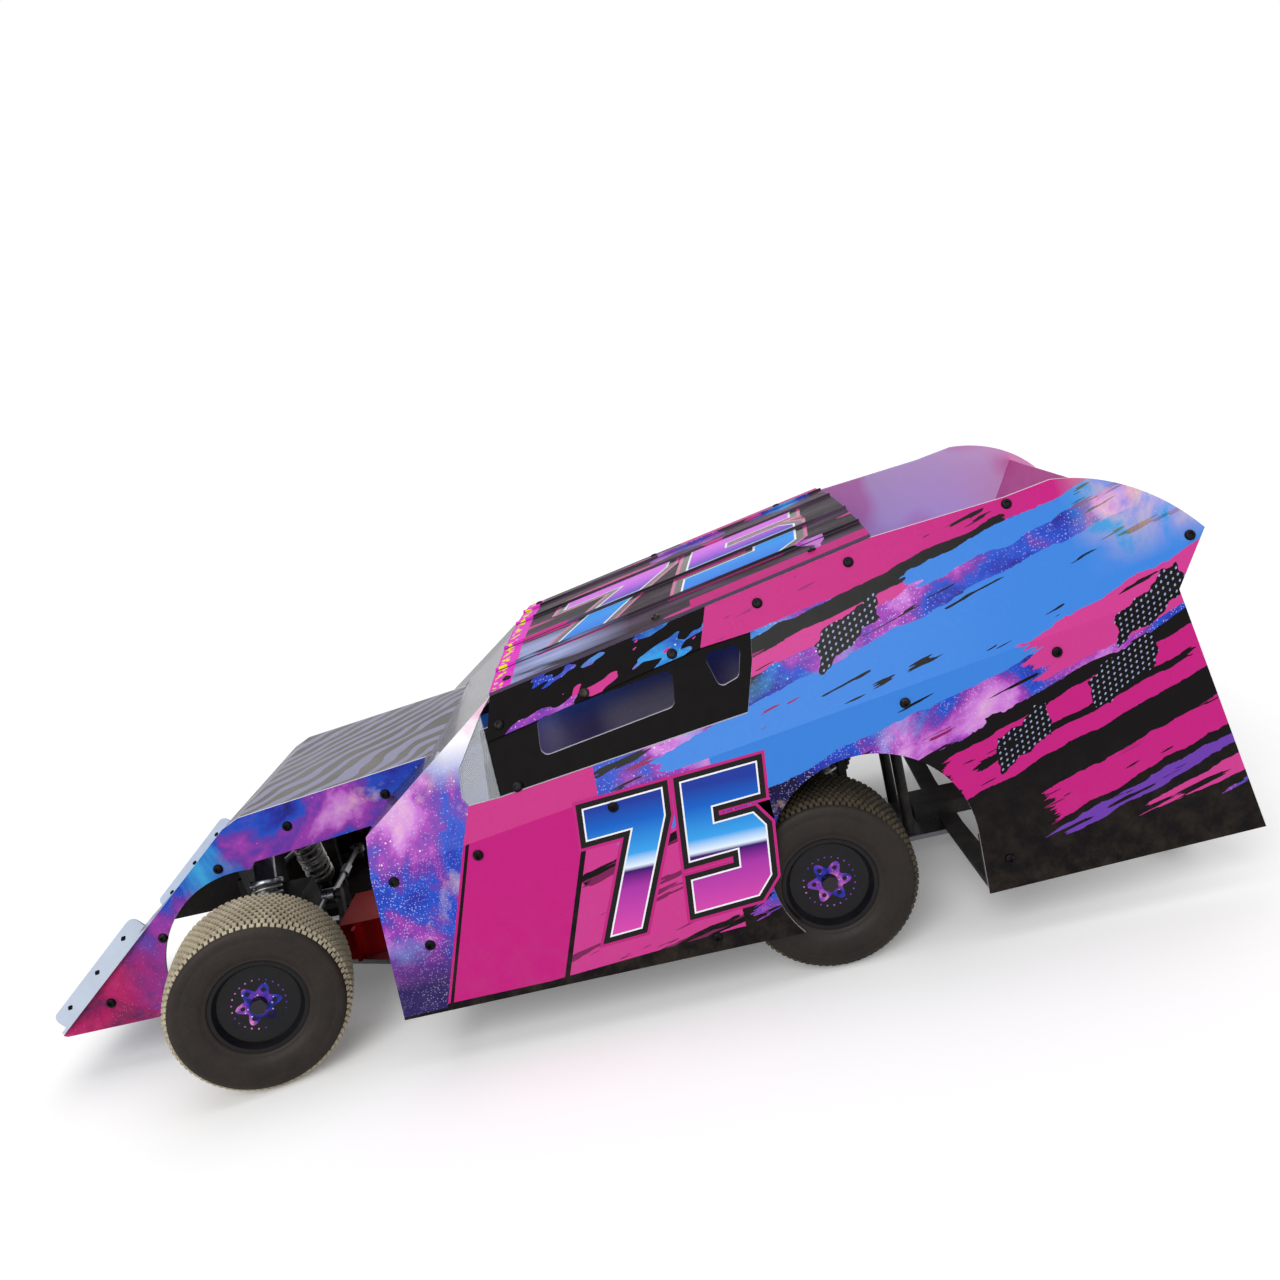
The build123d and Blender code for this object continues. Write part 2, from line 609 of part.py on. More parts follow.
shock_foot_z = ARM_Z + ARM_THICKNESS + SHOCK_EYE_RADIUS
front_shock_y = front_tower_y + TOWER_THICKNESS + SPRING_RADIUS + SHOCK_CLEARANCE
with BuildPart() as front_shock:
    shock(
        (FRONT_SHOCK_FOOT_X, front_shock_y, shock_foot_z),
        (FRONT_SHOCK_HEAD_X, front_shock_y, FRONT_TOWER_TOP - SHOCK_HEAD_INSET),
        front_tower_y + TOWER_THICKNESS,
    )
finish_pair(front_shock, "front_shock")
rear_shock_y = rear_tower_y - SPRING_RADIUS - SHOCK_CLEARANCE
with BuildPart() as rear_shock:
    shock(
        (REAR_SHOCK_FOOT_X, rear_shock_y, shock_foot_z),
        (REAR_SHOCK_HEAD_X, rear_shock_y, REAR_TOWER_TOP - SHOCK_HEAD_INSET),
        rear_tower_y,
    )
finish_pair(rear_shock, "rear_shock")


def outward(side, steer=0.0):
    return Vector(side * cos(radians(steer)), side * sin(radians(steer)), 0)


def wheel_section(centre, axle):
    # Section plane through the axle: x runs outward along the axle, y is the radius.
    return Plane(origin=centre, x_dir=axle, z_dir=axle.cross(Vector(0, 0, 1)))


def rim_and_tyre(name, centre, axle):
    plane = wheel_section(centre, axle)
    half_rim = RIM_WIDTH / 2
    disc = half_rim - DISH_DEPTH
    barrel = RIM_RADIUS - RIM_WALL
    with BuildPart() as rim:
        with BuildSketch(plane):
            Polygon(
                (-half_rim, RIM_RADIUS), (-half_rim, barrel - RIM_WALL), (disc - RIM_WALL, barrel - RIM_WALL),
                (disc - RIM_WALL, HUB_RADIUS), (disc - HUB_LENGTH, HUB_RADIUS),
                (disc - HUB_LENGTH, AXLE_RADIUS + BEARING_CLEARANCE), (disc, AXLE_RADIUS + BEARING_CLEARANCE),
                (disc, barrel - 2), (half_rim, barrel), (half_rim, RIM_RADIUS),
                (half_rim - BEAD_WIDTH, RIM_RADIUS),
                (half_rim - BEAD_WIDTH - 1, barrel), (BEAD_WIDTH + 1 - half_rim, barrel),
                (BEAD_WIDTH - half_rim, RIM_RADIUS), align=None,
            )
        revolve(axis=Axis(centre, axle))
    finish(rim, f"rim_{name}")
    with BuildPart() as tyre:
        half = TYRE_WIDTH / 2
        bead = half_rim - 0.5
        shoulder = (TREAD_WIDTH / 2, TYRE_RADIUS - SHOULDER_DROP)
        wall_high = (half - 0.8, TYRE_RADIUS - 5)
        mid_wall = (half, (RIM_RADIUS + TYRE_RADIUS) / 2)
        corner = (half - 2, TYRE_RADIUS - 2.2)
        with BuildSketch(plane):
            with BuildLine():
                Line((-bead, RIM_RADIUS), (bead, RIM_RADIUS))
                ThreePointArc(shoulder, (0, TYRE_RADIUS), (-shoulder[0], shoulder[1]))
                for side in (1, -1):
                    ThreePointArc((side * bead, RIM_RADIUS), (side * mid_wall[0], mid_wall[1]),
                                  (side * wall_high[0], wall_high[1]))
                    ThreePointArc((side * wall_high[0], wall_high[1]), (side * corner[0], corner[1]),
                                  (side * shoulder[0], shoulder[1]))
            make_face()
        revolve(axis=Axis(centre, axle))
    finish(tyre, f"tyre_{name}")


disc_face = RIM_WIDTH / 2 - DISH_DEPTH
for name, side in SIDES:
    kingpin = Vector(side * KINGPIN_X, FRONT_AXLE_Y, AXLE_Z)
    steered = outward(side, STEER)
    front_centre = kingpin + steered * WHEEL_OFFSET
    rim_and_tyre(f"front_{name}", front_centre, steered)
    rear_axle = outward(side)
    rear_centre = Vector(side * REAR_WHEEL_X, REAR_AXLE_Y, AXLE_Z)
    rim_and_tyre(f"rear_{name}", rear_centre, rear_axle)

    # Knuckle: pin barrel, stub axle with its nut, and the steering arm with its ball stud
    with BuildPart() as knuckle:
        upright = Plane(origin=kingpin, x_dir=steered, z_dir=(0, 0, 1))
        with BuildSketch(upright.offset(-KNUCKLE_HEIGHT / 2)):
            Circle(KNUCKLE_RADIUS)
        extrude(amount=KNUCKLE_HEIGHT)
        pin_reach = KNUCKLE_HEIGHT / 2 + EAR_GAP + EAR_THICKNESS
        with BuildSketch(upright.offset(-pin_reach)):
            Circle(KINGPIN_RADIUS)
        extrude(amount=2 * pin_reach)
        stub = WHEEL_OFFSET + disc_face + EAR_GAP
        with BuildSketch(Plane(origin=kingpin, z_dir=steered)):
            Circle(AXLE_RADIUS)
        extrude(amount=stub)
        with BuildSketch(Plane(origin=kingpin + steered * stub, z_dir=steered)):
            RegularPolygon(NUT_RADIUS, 6)
        extrude(amount=NUT_HEIGHT)
        arm_low = -ROD_EYE_THICKNESS / 2 - EAR_GAP - ARM_BAR
        with BuildSketch(upright.offset(arm_low)):
            with Locations((0, side * STEER_ARM / 2)):
                Rectangle(6, STEER_ARM)
            with Locations((0, side * STEER_ARM)):
                Circle(3)
        extrude(amount=ARM_BAR)
        with BuildSketch(upright.offset(arm_low + ARM_BAR)):
            with Locations((0, side * STEER_ARM)):
                Circle(STUD_RADIUS)
        extrude(amount=ROD_EYE_THICKNESS + 2 * EAR_GAP + 0.6)
    finish(knuckle, f"knuckle_{name}")

    # Drive shaft: turns with the rear wheel, from the gearbox to the wheel nut
    with BuildPart() as drive_shaft:
        shaft_start = (side * (GEARBOX_HALF_WIDTH + 0.5), REAR_AXLE_Y, AXLE_Z)
        with BuildSketch(Plane(origin=shaft_start, z_dir=rear_axle)):
            Circle(DRIVE_SHAFT_RADIUS)
        extrude(amount=ARM_TIP_X - 1 - GEARBOX_HALF_WIDTH)
        for cup_x, cup_radius, cup_length in ((GEARBOX_HALF_WIDTH + 0.5, 3.6, 6), (ARM_TIP_X - 7, 3.6, 6.5)):
            with BuildSketch(Plane(origin=(side * cup_x, REAR_AXLE_Y, AXLE_Z), z_dir=rear_axle)):
                Circle(cup_radius)
            extrude(amount=cup_length)
        stub_x = ARM_TIP_X - 0.6
        stub_end = REAR_WHEEL_X + disc_face + EAR_GAP
        with BuildSketch(Plane(origin=(side * stub_x, REAR_AXLE_Y, AXLE_Z), z_dir=rear_axle)):
            Circle(AXLE_RADIUS)
        extrude(amount=stub_end - stub_x)
        with BuildSketch(Plane(origin=(side * stub_end, REAR_AXLE_Y, AXLE_Z), z_dir=rear_axle)):
            RegularPolygon(NUT_RADIUS, 6)
        extrude(amount=NUT_HEIGHT)
    finish(drive_shaft, f"drive_shaft_{name}")

# Steering servo, horn and tie rods
horn_y = FRONT_AXLE_Y + STEER_ARM * cos(radians(STEER))
horn_x = -STEER_ARM * sin(radians(STEER))
servo_shaft_z = CHASSIS_TOP + SERVO_WIDTH / 2
rod_z = AXLE_Z
rod_stack = ROD_EYE_THICKNESS + ROD_STACK_GAP
horn_front_y = horn_y + rod_stack / 2 + ROD_EYE_THICKNESS / 2 + HORN_CLEARANCE
horn_length = (rod_z - servo_shaft_z) / cos(radians(STEER))
servo_front_y = horn_front_y + HORN_THICKNESS + SERVO_GAP
with BuildPart() as servo:
    with BuildSketch(Plane.XZ.offset(-(servo_front_y + SERVO_DEPTH))):
        with Locations((SERVO_LENGTH / 2 - SERVO_SHAFT_INSET, servo_shaft_z)):
            Rectangle(SERVO_LENGTH, SERVO_WIDTH)
    extrude(amount=SERVO_DEPTH)
    with BuildSketch(Plane.XZ.offset(-servo_front_y)):
        with Locations((0, servo_shaft_z)):
            Circle(5.5)
    extrude(amount=2.5)
    with BuildSketch(Plane.XZ.offset(-(servo_front_y + 10))):
        with Locations((SERVO_LENGTH / 2 - SERVO_SHAFT_INSET, servo_shaft_z)):
            Rectangle(SERVO_LENGTH + 14, SERVO_WIDTH - 2)
    extrude(amount=2)
finish(servo, "servo")

with BuildPart() as servo_horn:
    with BuildSketch(Plane.XZ.offset(-(horn_front_y + HORN_THICKNESS))):
        with Locations((0, servo_shaft_z)):
            Circle(5)
        with Locations((horn_x, rod_z)):
            Circle(3.4)
        with Locations((horn_x / 2, (servo_shaft_z + rod_z) / 2)):
            Rectangle(5.6, horn_length, rotation=STEER)
    extrude(amount=HORN_THICKNESS)
    with BuildSketch(Plane.XZ.offset(-(horn_front_y + HORN_THICKNESS + 2.2))):
        with Locations((0, servo_shaft_z)):
            Circle(2.5)
    extrude(amount=2.2)
    with BuildSketch(Plane.XZ.offset(-horn_front_y)):
        with Locations((horn_x, rod_z)):
            Circle(STUD_RADIUS)
    extrude(amount=2 * rod_stack + HORN_CLEARANCE)
finish(servo_horn, "servo_horn")

for name, side in SIDES:
    outer_eye = Vector(side * KINGPIN_X + horn_x, horn_y, rod_z)
    inner_eye = Vector(horn_x, horn_y - side * rod_stack / 2, rod_z)
    line = inner_eye - outer_eye
    with BuildPart() as tie_rod:
        start = outer_eye + line.normalized() * (ROD_EYE_RADIUS - 1.2)
        with BuildSketch(Plane(origin=start, z_dir=line)):
            Circle(TIE_ROD_RADIUS)
        extrude(amount=line.length - 2 * (ROD_EYE_RADIUS - 1.2))
        with BuildSketch(Plane(origin=outer_eye + line * 0.42, z_dir=line)):
            RegularPolygon(2.9, 6)
        extrude(amount=line.length * 0.16)
        with BuildSketch(Plane(origin=outer_eye - Vector(0, 0, ROD_EYE_THICKNESS / 2), z_dir=(0, 0, 1))):
            Circle(ROD_EYE_RADIUS)
        extrude(amount=ROD_EYE_THICKNESS)
        with BuildSketch(Plane(origin=inner_eye + Vector(0, ROD_EYE_THICKNESS / 2, 0), z_dir=(0, -1, 0))):
            Circle(ROD_EYE_RADIUS)
        extrude(amount=ROD_EYE_THICKNESS)
        with BuildSketch(Plane(origin=outer_eye - Vector(0, 0, ROD_EYE_THICKNESS), z_dir=(0, 0, 1))):
            Circle(STUD_RADIUS + BEARING_CLEARANCE)
        extrude(amount=2 * ROD_EYE_THICKNESS, mode=Mode.SUBTRACT)
        with BuildSketch(Plane(origin=inner_eye + Vector(0, ROD_EYE_THICKNESS, 0), z_dir=(0, -1, 0))):
            Circle(STUD_RADIUS + OPEN_PIVOT_GAP)
        extrude(amount=2 * ROD_EYE_THICKNESS, mode=Mode.SUBTRACT)
    finish(tie_rod, f"tie_rod_{name}")

# Motor, battery and speed controller
motor_y = REAR_AXLE_Y - GEARBOX_FRONT - MOTOR_RADIUS - MOTOR_GAP
with BuildPart() as motor:
    with BuildSketch(Plane.YZ.offset(MOTOR_RIGHT_END)):
        with Locations((motor_y, CHASSIS_TOP + MOTOR_RADIUS)):
            Circle(MOTOR_RADIUS)
    extrude(amount=MOTOR_LENGTH)
finish(motor, "motor")

battery_front_y = motor_y - MOTOR_RADIUS - BATTERY_GAP - BATTERY[1]
with BuildPart() as battery:
    with BuildSketch(Plane.XY.offset(CHASSIS_TOP)) as base:
        with Locations((BATTERY_X, battery_front_y + BATTERY[1] / 2)):
            RectangleRounded(BATTERY[0], BATTERY[1], 4)
    extrude(amount=BATTERY[2])
finish(battery, "battery")

with BuildPart() as speed_controller:
    with BuildSketch(Plane.XY.offset(CHASSIS_TOP)):
        controller_x = BATTERY_X + BATTERY[0] / 2 + CONTROLLER_GAP + SPEED_CONTROLLER[0] / 2
        controller_y = battery_front_y + CONTROLLER_SETBACK + SPEED_CONTROLLER[1] / 2
        with Locations((controller_x, controller_y)):
            Rectangle(SPEED_CONTROLLER[0], SPEED_CONTROLLER[1])
    extrude(amount=SPEED_CONTROLLER[2])
finish(speed_controller, "speed_controller")

# Side braces: bars on the chassis that carry the doors and quarters
with BuildPart() as side_braces:
    for brace_y, root_x in ((-96, CHASSIS_HALF_WIDTH - 12), (10, CHASSIS_HALF_WIDTH - 12), (173, 18)):
        reach = SIDE_X - PANEL
        foot_z = SILL_Z + BRACE_OVER_SILL
        with BuildSketch(Plane.XZ.offset(-(brace_y + BRACE_WIDTH / 2))):
            Polygon(
                (root_x, CHASSIS_TOP), (reach, foot_z), (reach, foot_z + BRACE_HEIGHT),
                (reach - BRACE_WALL, foot_z + BRACE_HEIGHT), (reach - BRACE_WALL, foot_z + BRACE_WALL),
                (root_x + 14, CHASSIS_TOP + BRACE_WALL), (root_x, CHASSIS_TOP + BRACE_WALL), align=None,
            )
        extrude(amount=BRACE_WIDTH)
    mirror(about=Plane.YZ)
finish(side_braces, "side_braces")

# Nose brace: the crossbar on the chassis front that carries the nose sides
with BuildPart() as nose_brace:
    reach = NOSE_HALF_WIDTH - PANEL
    with BuildSketch(Plane.XZ.offset(-CHASSIS_FRONT_Y)):
        brace_top = CHASSIS_TOP + NOSE_BRACE_HEIGHT
        Polygon(
            (-reach, CHASSIS_TOP), (reach, CHASSIS_TOP), (reach, brace_top), (reach - BRACE_WALL, brace_top),
            (reach - BRACE_WALL, CHASSIS_TOP + BRACE_WALL), (BRACE_WALL - reach, CHASSIS_TOP + BRACE_WALL),
            (BRACE_WALL - reach, brace_top), (-reach, brace_top), align=None,
        )
    extrude(amount=-BRACE_WIDTH)
finish(nose_brace, "nose_brace")

# Deck posts: from the chassis up to the deck, front and rear
with BuildPart() as body_posts:
    for post_x, post_y in ((30, -95), (-30, -95), (24, 150), (-24, 150)):
        with BuildSketch(Plane.XY.offset(CHASSIS_TOP)):
            with Locations((post_x, post_y)):
                Circle(POST_RADIUS)
        extrude(amount=deck_z(post_y) - PANEL - CHASSIS_TOP - POST_GAP)
finish(body_posts, "body_posts")

# Rear bumper: a boom behind the transaxle with a crossbar inside the tail
with BuildPart() as rear_bumper:
    with BuildSketch(Plane.XY.offset(CHASSIS_TOP)):
        with Locations((0, (BUMPER_FRONT_Y + BUMPER_REAR_Y) / 2)):
            Rectangle(2 * BUMPER_BOOM_HALF_WIDTH, BUMPER_REAR_Y - BUMPER_FRONT_Y)
    extrude(amount=BUMPER_HEIGHT)
    with BuildSketch(Plane.XY.offset(CHASSIS_TOP)):
        with Locations((0, BUMPER_REAR_Y - BUMPER_BAR / 2)):
            RectangleRounded(BUMPER_WIDTH, BUMPER_BAR, BUMPER_BAR / 2 - 1)
    extrude(amount=BUMPER_HEIGHT)
finish(rear_bumper, "rear_bumper")

# Camber links: upper rods from tower and transaxle out to the carriers
with BuildPart() as camber_links:
    for axis_point, axis_dir, eye_length, eye_base, rod_start, rod_end in CAMBER_LINKS:
        with BuildSketch(Plane(origin=axis_point, z_dir=axis_dir)):
            Circle(LINK_EYE_RADIUS)
        extrude(amount=eye_length)
        rod_line = Vector(*rod_end) - Vector(*rod_start)
        with BuildSketch(Plane(origin=rod_start, z_dir=rod_line)):
            Circle(LINK_RADIUS)
        extrude(amount=rod_line.length)
        with BuildSketch(Plane.XY.offset(eye_base)):
            with Locations((rod_end[0], rod_end[1])):
                Circle(LINK_OUTER_EYE_RADIUS)
        extrude(amount=LINK_EYE_HEIGHT)
    mirror(about=Plane.YZ)
finish(camber_links, "camber_links")
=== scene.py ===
import json
import math

import bmesh
import bpy
from mathutils import Euler, Matrix, Vector


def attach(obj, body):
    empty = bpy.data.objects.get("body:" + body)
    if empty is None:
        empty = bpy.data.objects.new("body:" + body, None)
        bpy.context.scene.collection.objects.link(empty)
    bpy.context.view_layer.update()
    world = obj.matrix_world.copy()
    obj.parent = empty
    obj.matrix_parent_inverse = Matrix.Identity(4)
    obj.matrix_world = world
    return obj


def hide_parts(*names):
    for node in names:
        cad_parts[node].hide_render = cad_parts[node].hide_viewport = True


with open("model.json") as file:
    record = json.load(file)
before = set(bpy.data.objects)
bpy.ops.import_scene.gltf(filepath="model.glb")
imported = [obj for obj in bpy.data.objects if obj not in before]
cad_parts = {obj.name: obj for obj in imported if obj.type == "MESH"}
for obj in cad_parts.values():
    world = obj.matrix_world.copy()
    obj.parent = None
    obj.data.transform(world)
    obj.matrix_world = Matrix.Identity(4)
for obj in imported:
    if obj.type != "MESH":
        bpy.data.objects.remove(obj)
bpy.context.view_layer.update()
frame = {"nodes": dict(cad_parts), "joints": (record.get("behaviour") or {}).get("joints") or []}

# A tenth-scale radio-controlled dirt-oval modified, dressed for the camera.
# Metres. X points to the car's left, Y to its rear, Z up.

MM = 0.001

# Sizes shared with the solids
TYRE_RADIUS = 43.0 * MM
TREAD_HALF = 17.0 * MM
RIM_RADIUS = 22.5 * MM
DISH_FACE = 14.5 * MM
SIDE_X = 122.0 * MM
NOSE_X = 64.0 * MM
FOLD_Z = 111.5 * MM
FOLD_SLOPE = 0.137
LEAN = 0.44
DECK_SLOPE = 0.137
DECK_LEVEL = 120.0 * MM
ROOF_FRONT = (-39.5 * MM, 162.0 * MM)
ROOF_REAR = (148.0 * MM, 196.5 * MM)
ROOF_CROWN = 4.0 * MM
ROOF_BEAD = 1.6 * MM
ROOF_BEADS = ((28.0 * MM, 0.35 * MM),)
PANEL = 1.5 * MM
NOSE_TIP = (-298.0 * MM, 27.0 * MM)
NOSE_BEND = (-190.5 * MM, 116.0 * MM)

# Directions and slopes that follow from them
NOSE_SLOPE = Vector((0, NOSE_BEND[0] - NOSE_TIP[0], NOSE_BEND[1] - NOSE_TIP[1])).normalized()
NOSE_UP = Vector((1, 0, 0)).cross(NOSE_SLOPE)
ROOF_RISE = (ROOF_REAR[1] - ROOF_FRONT[1]) / (ROOF_REAR[0] - ROOF_FRONT[0])
SIDES = (("left", 1), ("right", -1))

# Camera, fitted to the photo's frame
CAMERA_PLACE = (0.6402, 0.0666, 0.3009)
CAMERA_TURN = (79.061, 11.875, 87.116)
CAMERA_LENS = 33.95
CAMERA_SHIFT = (-0.0546, -0.0548)


# Colours

def colour(code):
    # A web colour as linear RGBA.
    values = [int(code[i:i + 2], 16) / 255 for i in (0, 2, 4)]
    return tuple([v / 12.92 if v <= 0.04045 else ((v + 0.055) / 1.055) ** 2.4 for v in values] + [1.0])


MAGENTA = colour("c01c7c")
PINK = colour("c93a8c")
SKY_BLUE = colour("3a80d8")
INK = colour("0b0709")
NAVY = colour("181040")
DEEP_BLUE = colour("2a35a8")
VIOLET = colour("6a3aa8")
HAZE = colour("d9a6d2")
CYAN = colour("3ba3e2")
TEAL = colour("62c4cf")
PEACH = colour("f1cbb6")
CRIMSON = colour("a8175a")
PLUM = colour("33164a")
WHITE = colour("f4f4f8")
WHITE_FLOOR = colour("fdfdfd")
STRIP_PINK = colour("e22fc4")
STRIP_YELLOW = colour("e8de1c")
SHEET_EDGE = colour("cfc9d6")
SHEET_BACK = colour("c3a6cf")
# Painted shade: the dark colour of the inner faces under the deck and of the deck's underside
PAINTED_SHADE_INNER = colour("2b2522")


# Material graphs

class Graph:
    # A small wrapper that builds a principled material from expressions.

    def __init__(self, name):
        self.material = bpy.data.materials.new(name)
        self.material.use_nodes = True
        self.nodes = self.material.node_tree.nodes
        self.links = self.material.node_tree.links
        self.nodes.clear()
        self.shader = self.nodes.new("ShaderNodeBsdfPrincipled")
        output = self.nodes.new("ShaderNodeOutputMaterial")
        self.links.new(self.shader.outputs[0], output.inputs[0])
        self.coordinates = self.nodes.new("ShaderNodeTexCoord")
        self.place = self.coordinates.outputs["Object"]
        self.facing = self.coordinates.outputs["Normal"]

    def feed(self, socket, value):
        if isinstance(value, bpy.types.NodeSocket):
            self.links.new(value, socket)
        else:
            socket.default_value = value

    def set(self, **values):
        for name, value in values.items():
            self.feed(self.shader.inputs[name.replace("_", " ")], value)
        return self

    def node(self, kind, *values):
        # A new node with values or links in its first inputs.
        node = self.nodes.new(kind)
        for socket, value in zip(node.inputs, values):
            self.feed(socket, value)
        return node

    def math(self, operation, a, b=0.0, c=0.0):
        node = self.node("ShaderNodeMath", a, b, c)
        node.operation = operation
        return node.outputs[0]

    def times(self, a, b):
        return self.math("MULTIPLY", a, b)

    def minus(self, a, b):
        return self.math("SUBTRACT", a, b)

    def times_plus(self, a, b, c):
        return self.math("MULTIPLY_ADD", a, b, c)

    def above(self, value, limit):
        return self.math("GREATER_THAN", value, limit)

    def below(self, value, limit):
        return self.math("LESS_THAN", value, limit)

    def size(self, value):
        return self.math("ABSOLUTE", value)

    def split(self, vector):
        return tuple(self.node("ShaderNodeSeparateXYZ", vector).outputs)

    def join(self, x, y, z):
        return self.node("ShaderNodeCombineXYZ", x, y, z).outputs[0]

    def stretched(self, u, v, along, across, seed=0.0):
        # Noise coordinates with one scale along u and another along v.
        return self.join(self.times(u, along), self.times(v, across), seed)

    def shifted(self, vector, offset):
        node = self.node("ShaderNodeVectorMath", vector, offset)
        node.operation = "ADD"
        return node.outputs[0]

    def mix(self, factor, a, b):
        node = self.nodes.new("ShaderNodeMix")
        node.data_type = "RGBA"
        self.feed(node.inputs[0], factor)
        self.feed(node.inputs[6], a)
        self.feed(node.inputs[7], b)
        return node.outputs[2]

    def noise(self, vector, scale, detail=4.0, roughness=0.5, distortion=0.0):
        node = self.nodes.new("ShaderNodeTexNoise")
        self.feed(node.inputs["Vector"], vector)
        node.inputs["Scale"].default_value = scale
        node.inputs["Detail"].default_value = detail
        node.inputs["Roughness"].default_value = roughness
        node.inputs["Distortion"].default_value = distortion
        return node.outputs["Fac"]

    def cells(self, vector, scale):
        # Distance to the nearest cell point, and a random value for each cell.
        node = self.nodes.new("ShaderNodeTexVoronoi")
        self.feed(node.inputs["Vector"], vector)
        node.inputs["Scale"].default_value = scale
        return node.outputs["Distance"], self.split(node.outputs["Color"])[0]

    def ramp(self, factor, stops):
        node = self.nodes.new("ShaderNodeValToRGB")
        points = node.color_ramp.elements
        while len(points) < len(stops):
            points.new(0.5)
        for point, (position, value) in zip(points, stops):
            point.position = position
            point.color = value
        self.feed(node.inputs[0], factor)
        return node.outputs[0]

    def fade(self, value, low, high):
        # 0 at low, 1 at high, and clamped outside.
        node = self.nodes.new("ShaderNodeMapRange")
        self.feed(node.inputs["Value"], value)
        node.inputs["From Min"].default_value = low
        node.inputs["From Max"].default_value = high
        return node.outputs["Result"]

    def bump(self, height, strength, distance):
        node = self.nodes.new("ShaderNodeBump")
        node.inputs["Strength"].default_value = strength
        node.inputs["Distance"].default_value = distance
        self.feed(node.inputs["Height"], height)
        self.feed(self.shader.inputs["Normal"], node.outputs[0])


def streak_frame(g, degrees):
    # Side-view coordinates along and across a streak that rises towards the rear.
    _, y, z = g.split(g.place)
    run, rise = math.cos(math.radians(degrees)), math.sin(math.radians(degrees))
    along = g.math("ADD", g.times(y, run), g.times(z, rise))
    across = g.minus(g.times(z, run), g.times(y, rise))
    return along, across


def torn_band(g, streak, along, across, tear):
    # 1 inside a band with torn ends and edges. Along and across are (from, to) in metres.
    u, v = streak
    fibres = g.noise(g.stretched(u, v, 26, 300, 0.0), 1.0, 3.0, 0.6)
    lumps = g.noise(g.stretched(u, v, 34, 90, 3.7), 1.0, 4.0, 0.6)
    u = g.times_plus(fibres, 7 * tear, u)
    v = g.times_plus(lumps, 1.6 * tear, v)
    inside = g.minus(u, along[0] + 3.5 * tear)
    for value in (
        g.minus(along[1] + 3.5 * tear, u),
        g.minus(v, across[0] + 0.8 * tear),
        g.minus(across[1] + 0.8 * tear, v),
    ):
        inside = g.math("MINIMUM", inside, value)
    return g.above(inside, 0.0)


def slashes(g, streak, density, seed=0.0):
    # Thin torn streaks; density from 0, none, to 1, all.
    u, v = streak
    grain = g.noise(g.stretched(u, v, 15, 170, seed), 1.0, 3.0, 0.62)
    return g.above(grain, 0.72 - 0.3 * density)


def stars(g, scale, size, keep):
    # Round points, brightest in the middle; keep is the share of cells that hold one.
    distance, chance = g.cells(g.place, scale)
    glow = g.fade(distance, size, size * 0.3)
    return g.times(glow, g.below(chance, keep))


def galaxy(g):
    # A night sky: blue and violet clouds with pale haze.
    cloud = g.noise(g.place, 17.0, 7.0, 0.58, 0.5)
    sky = g.ramp(cloud, [
        (0.33, NAVY), (0.40, DEEP_BLUE), (0.46, colour("2450c4")), (0.50, VIOLET), (0.55, colour("a03fb0")),
        (0.61, colour("c87ad2")), (0.68, HAZE),
    ])
    drift = g.noise(g.shifted(g.place, (3.1, 0.7, 1.9)), 11.0, 6.0, 0.6, 0.8)
    sky = g.mix(g.fade(drift, 0.53, 0.66), sky, CYAN)
    sky = g.mix(g.fade(drift, 0.66, 0.74), sky, TEAL)
    mist = g.noise(g.shifted(g.place, (0.4, 5.2, 2.3)), 13.0, 6.0, 0.62, 0.4)
    sky = g.mix(g.fade(mist, 0.60, 0.74), sky, PEACH)
    return sky


def with_stars(g, sky):
    # Fine stars, dense in drifts, and a few large ones.
    dust = g.fade(g.noise(g.place, 24.0, 3.0), 0.42, 0.62)
    small = g.times(stars(g, 1150.0, 0.40, 0.34), g.times_plus(dust, 0.75, 0.2))
    large = stars(g, 300.0, 0.16, 0.10)
    sky = g.mix(small, sky, colour("cdd2ff"))
    return g.mix(large, sky, WHITE)


def sheet_faces(g, outer, back=SHEET_BACK):
    # The print is on the outer face; the inner face has its own colour above the deck and painted shade under
    # it, and the cut edge is pale.
    px, py, pz = g.split(g.place)
    nx = g.split(g.facing)[0]
    outward = g.times(nx, g.math("SIGN", px))
    # Under the deck the inner face is painted shade, a dark colour for the shadow inside the body
    under = g.below(g.minus(pz, g.times(py, DECK_SLOPE)), DECK_LEVEL)
    inner = g.mix(under, back, PAINTED_SHADE_INNER)
    painted = g.mix(g.below(outward, -0.5), outer, inner)
    flat = g.above(g.size(nx), 0.5)
    return g.mix(flat, SHEET_EDGE, painted)


def glossy_film(g, roughness=0.24, coat=0.03, specular=0.1):
    # Vinyl film on polycarbonate: faint ripple, fine dust and scuffs in the gloss.
    ripple = g.noise(g.place, 28.0, 2.0)
    g.bump(ripple, 0.25, 0.0006)
    scuff = g.noise(g.place, 160.0, 5.0, 0.7)
    g.set(Roughness=g.times_plus(scuff, 0.22, roughness - 0.09))
    g.set(Coat_Weight=coat, Coat_Roughness=0.08, Specular_IOR_Level=specular)
    return g.material


def dusty(g, paint, amount, low=0.02, high=0.09, dust=colour("8b7a60")):
    # Track dust, thickest near the ground.
    z = g.split(g.place)[2]
    grain = g.noise(g.place, 90.0, 6.0, 0.7)
    reach = g.times(g.fade(z, high, low), g.fade(grain, 0.42, 0.75))
    return g.mix(g.times(reach, amount), paint, dust)


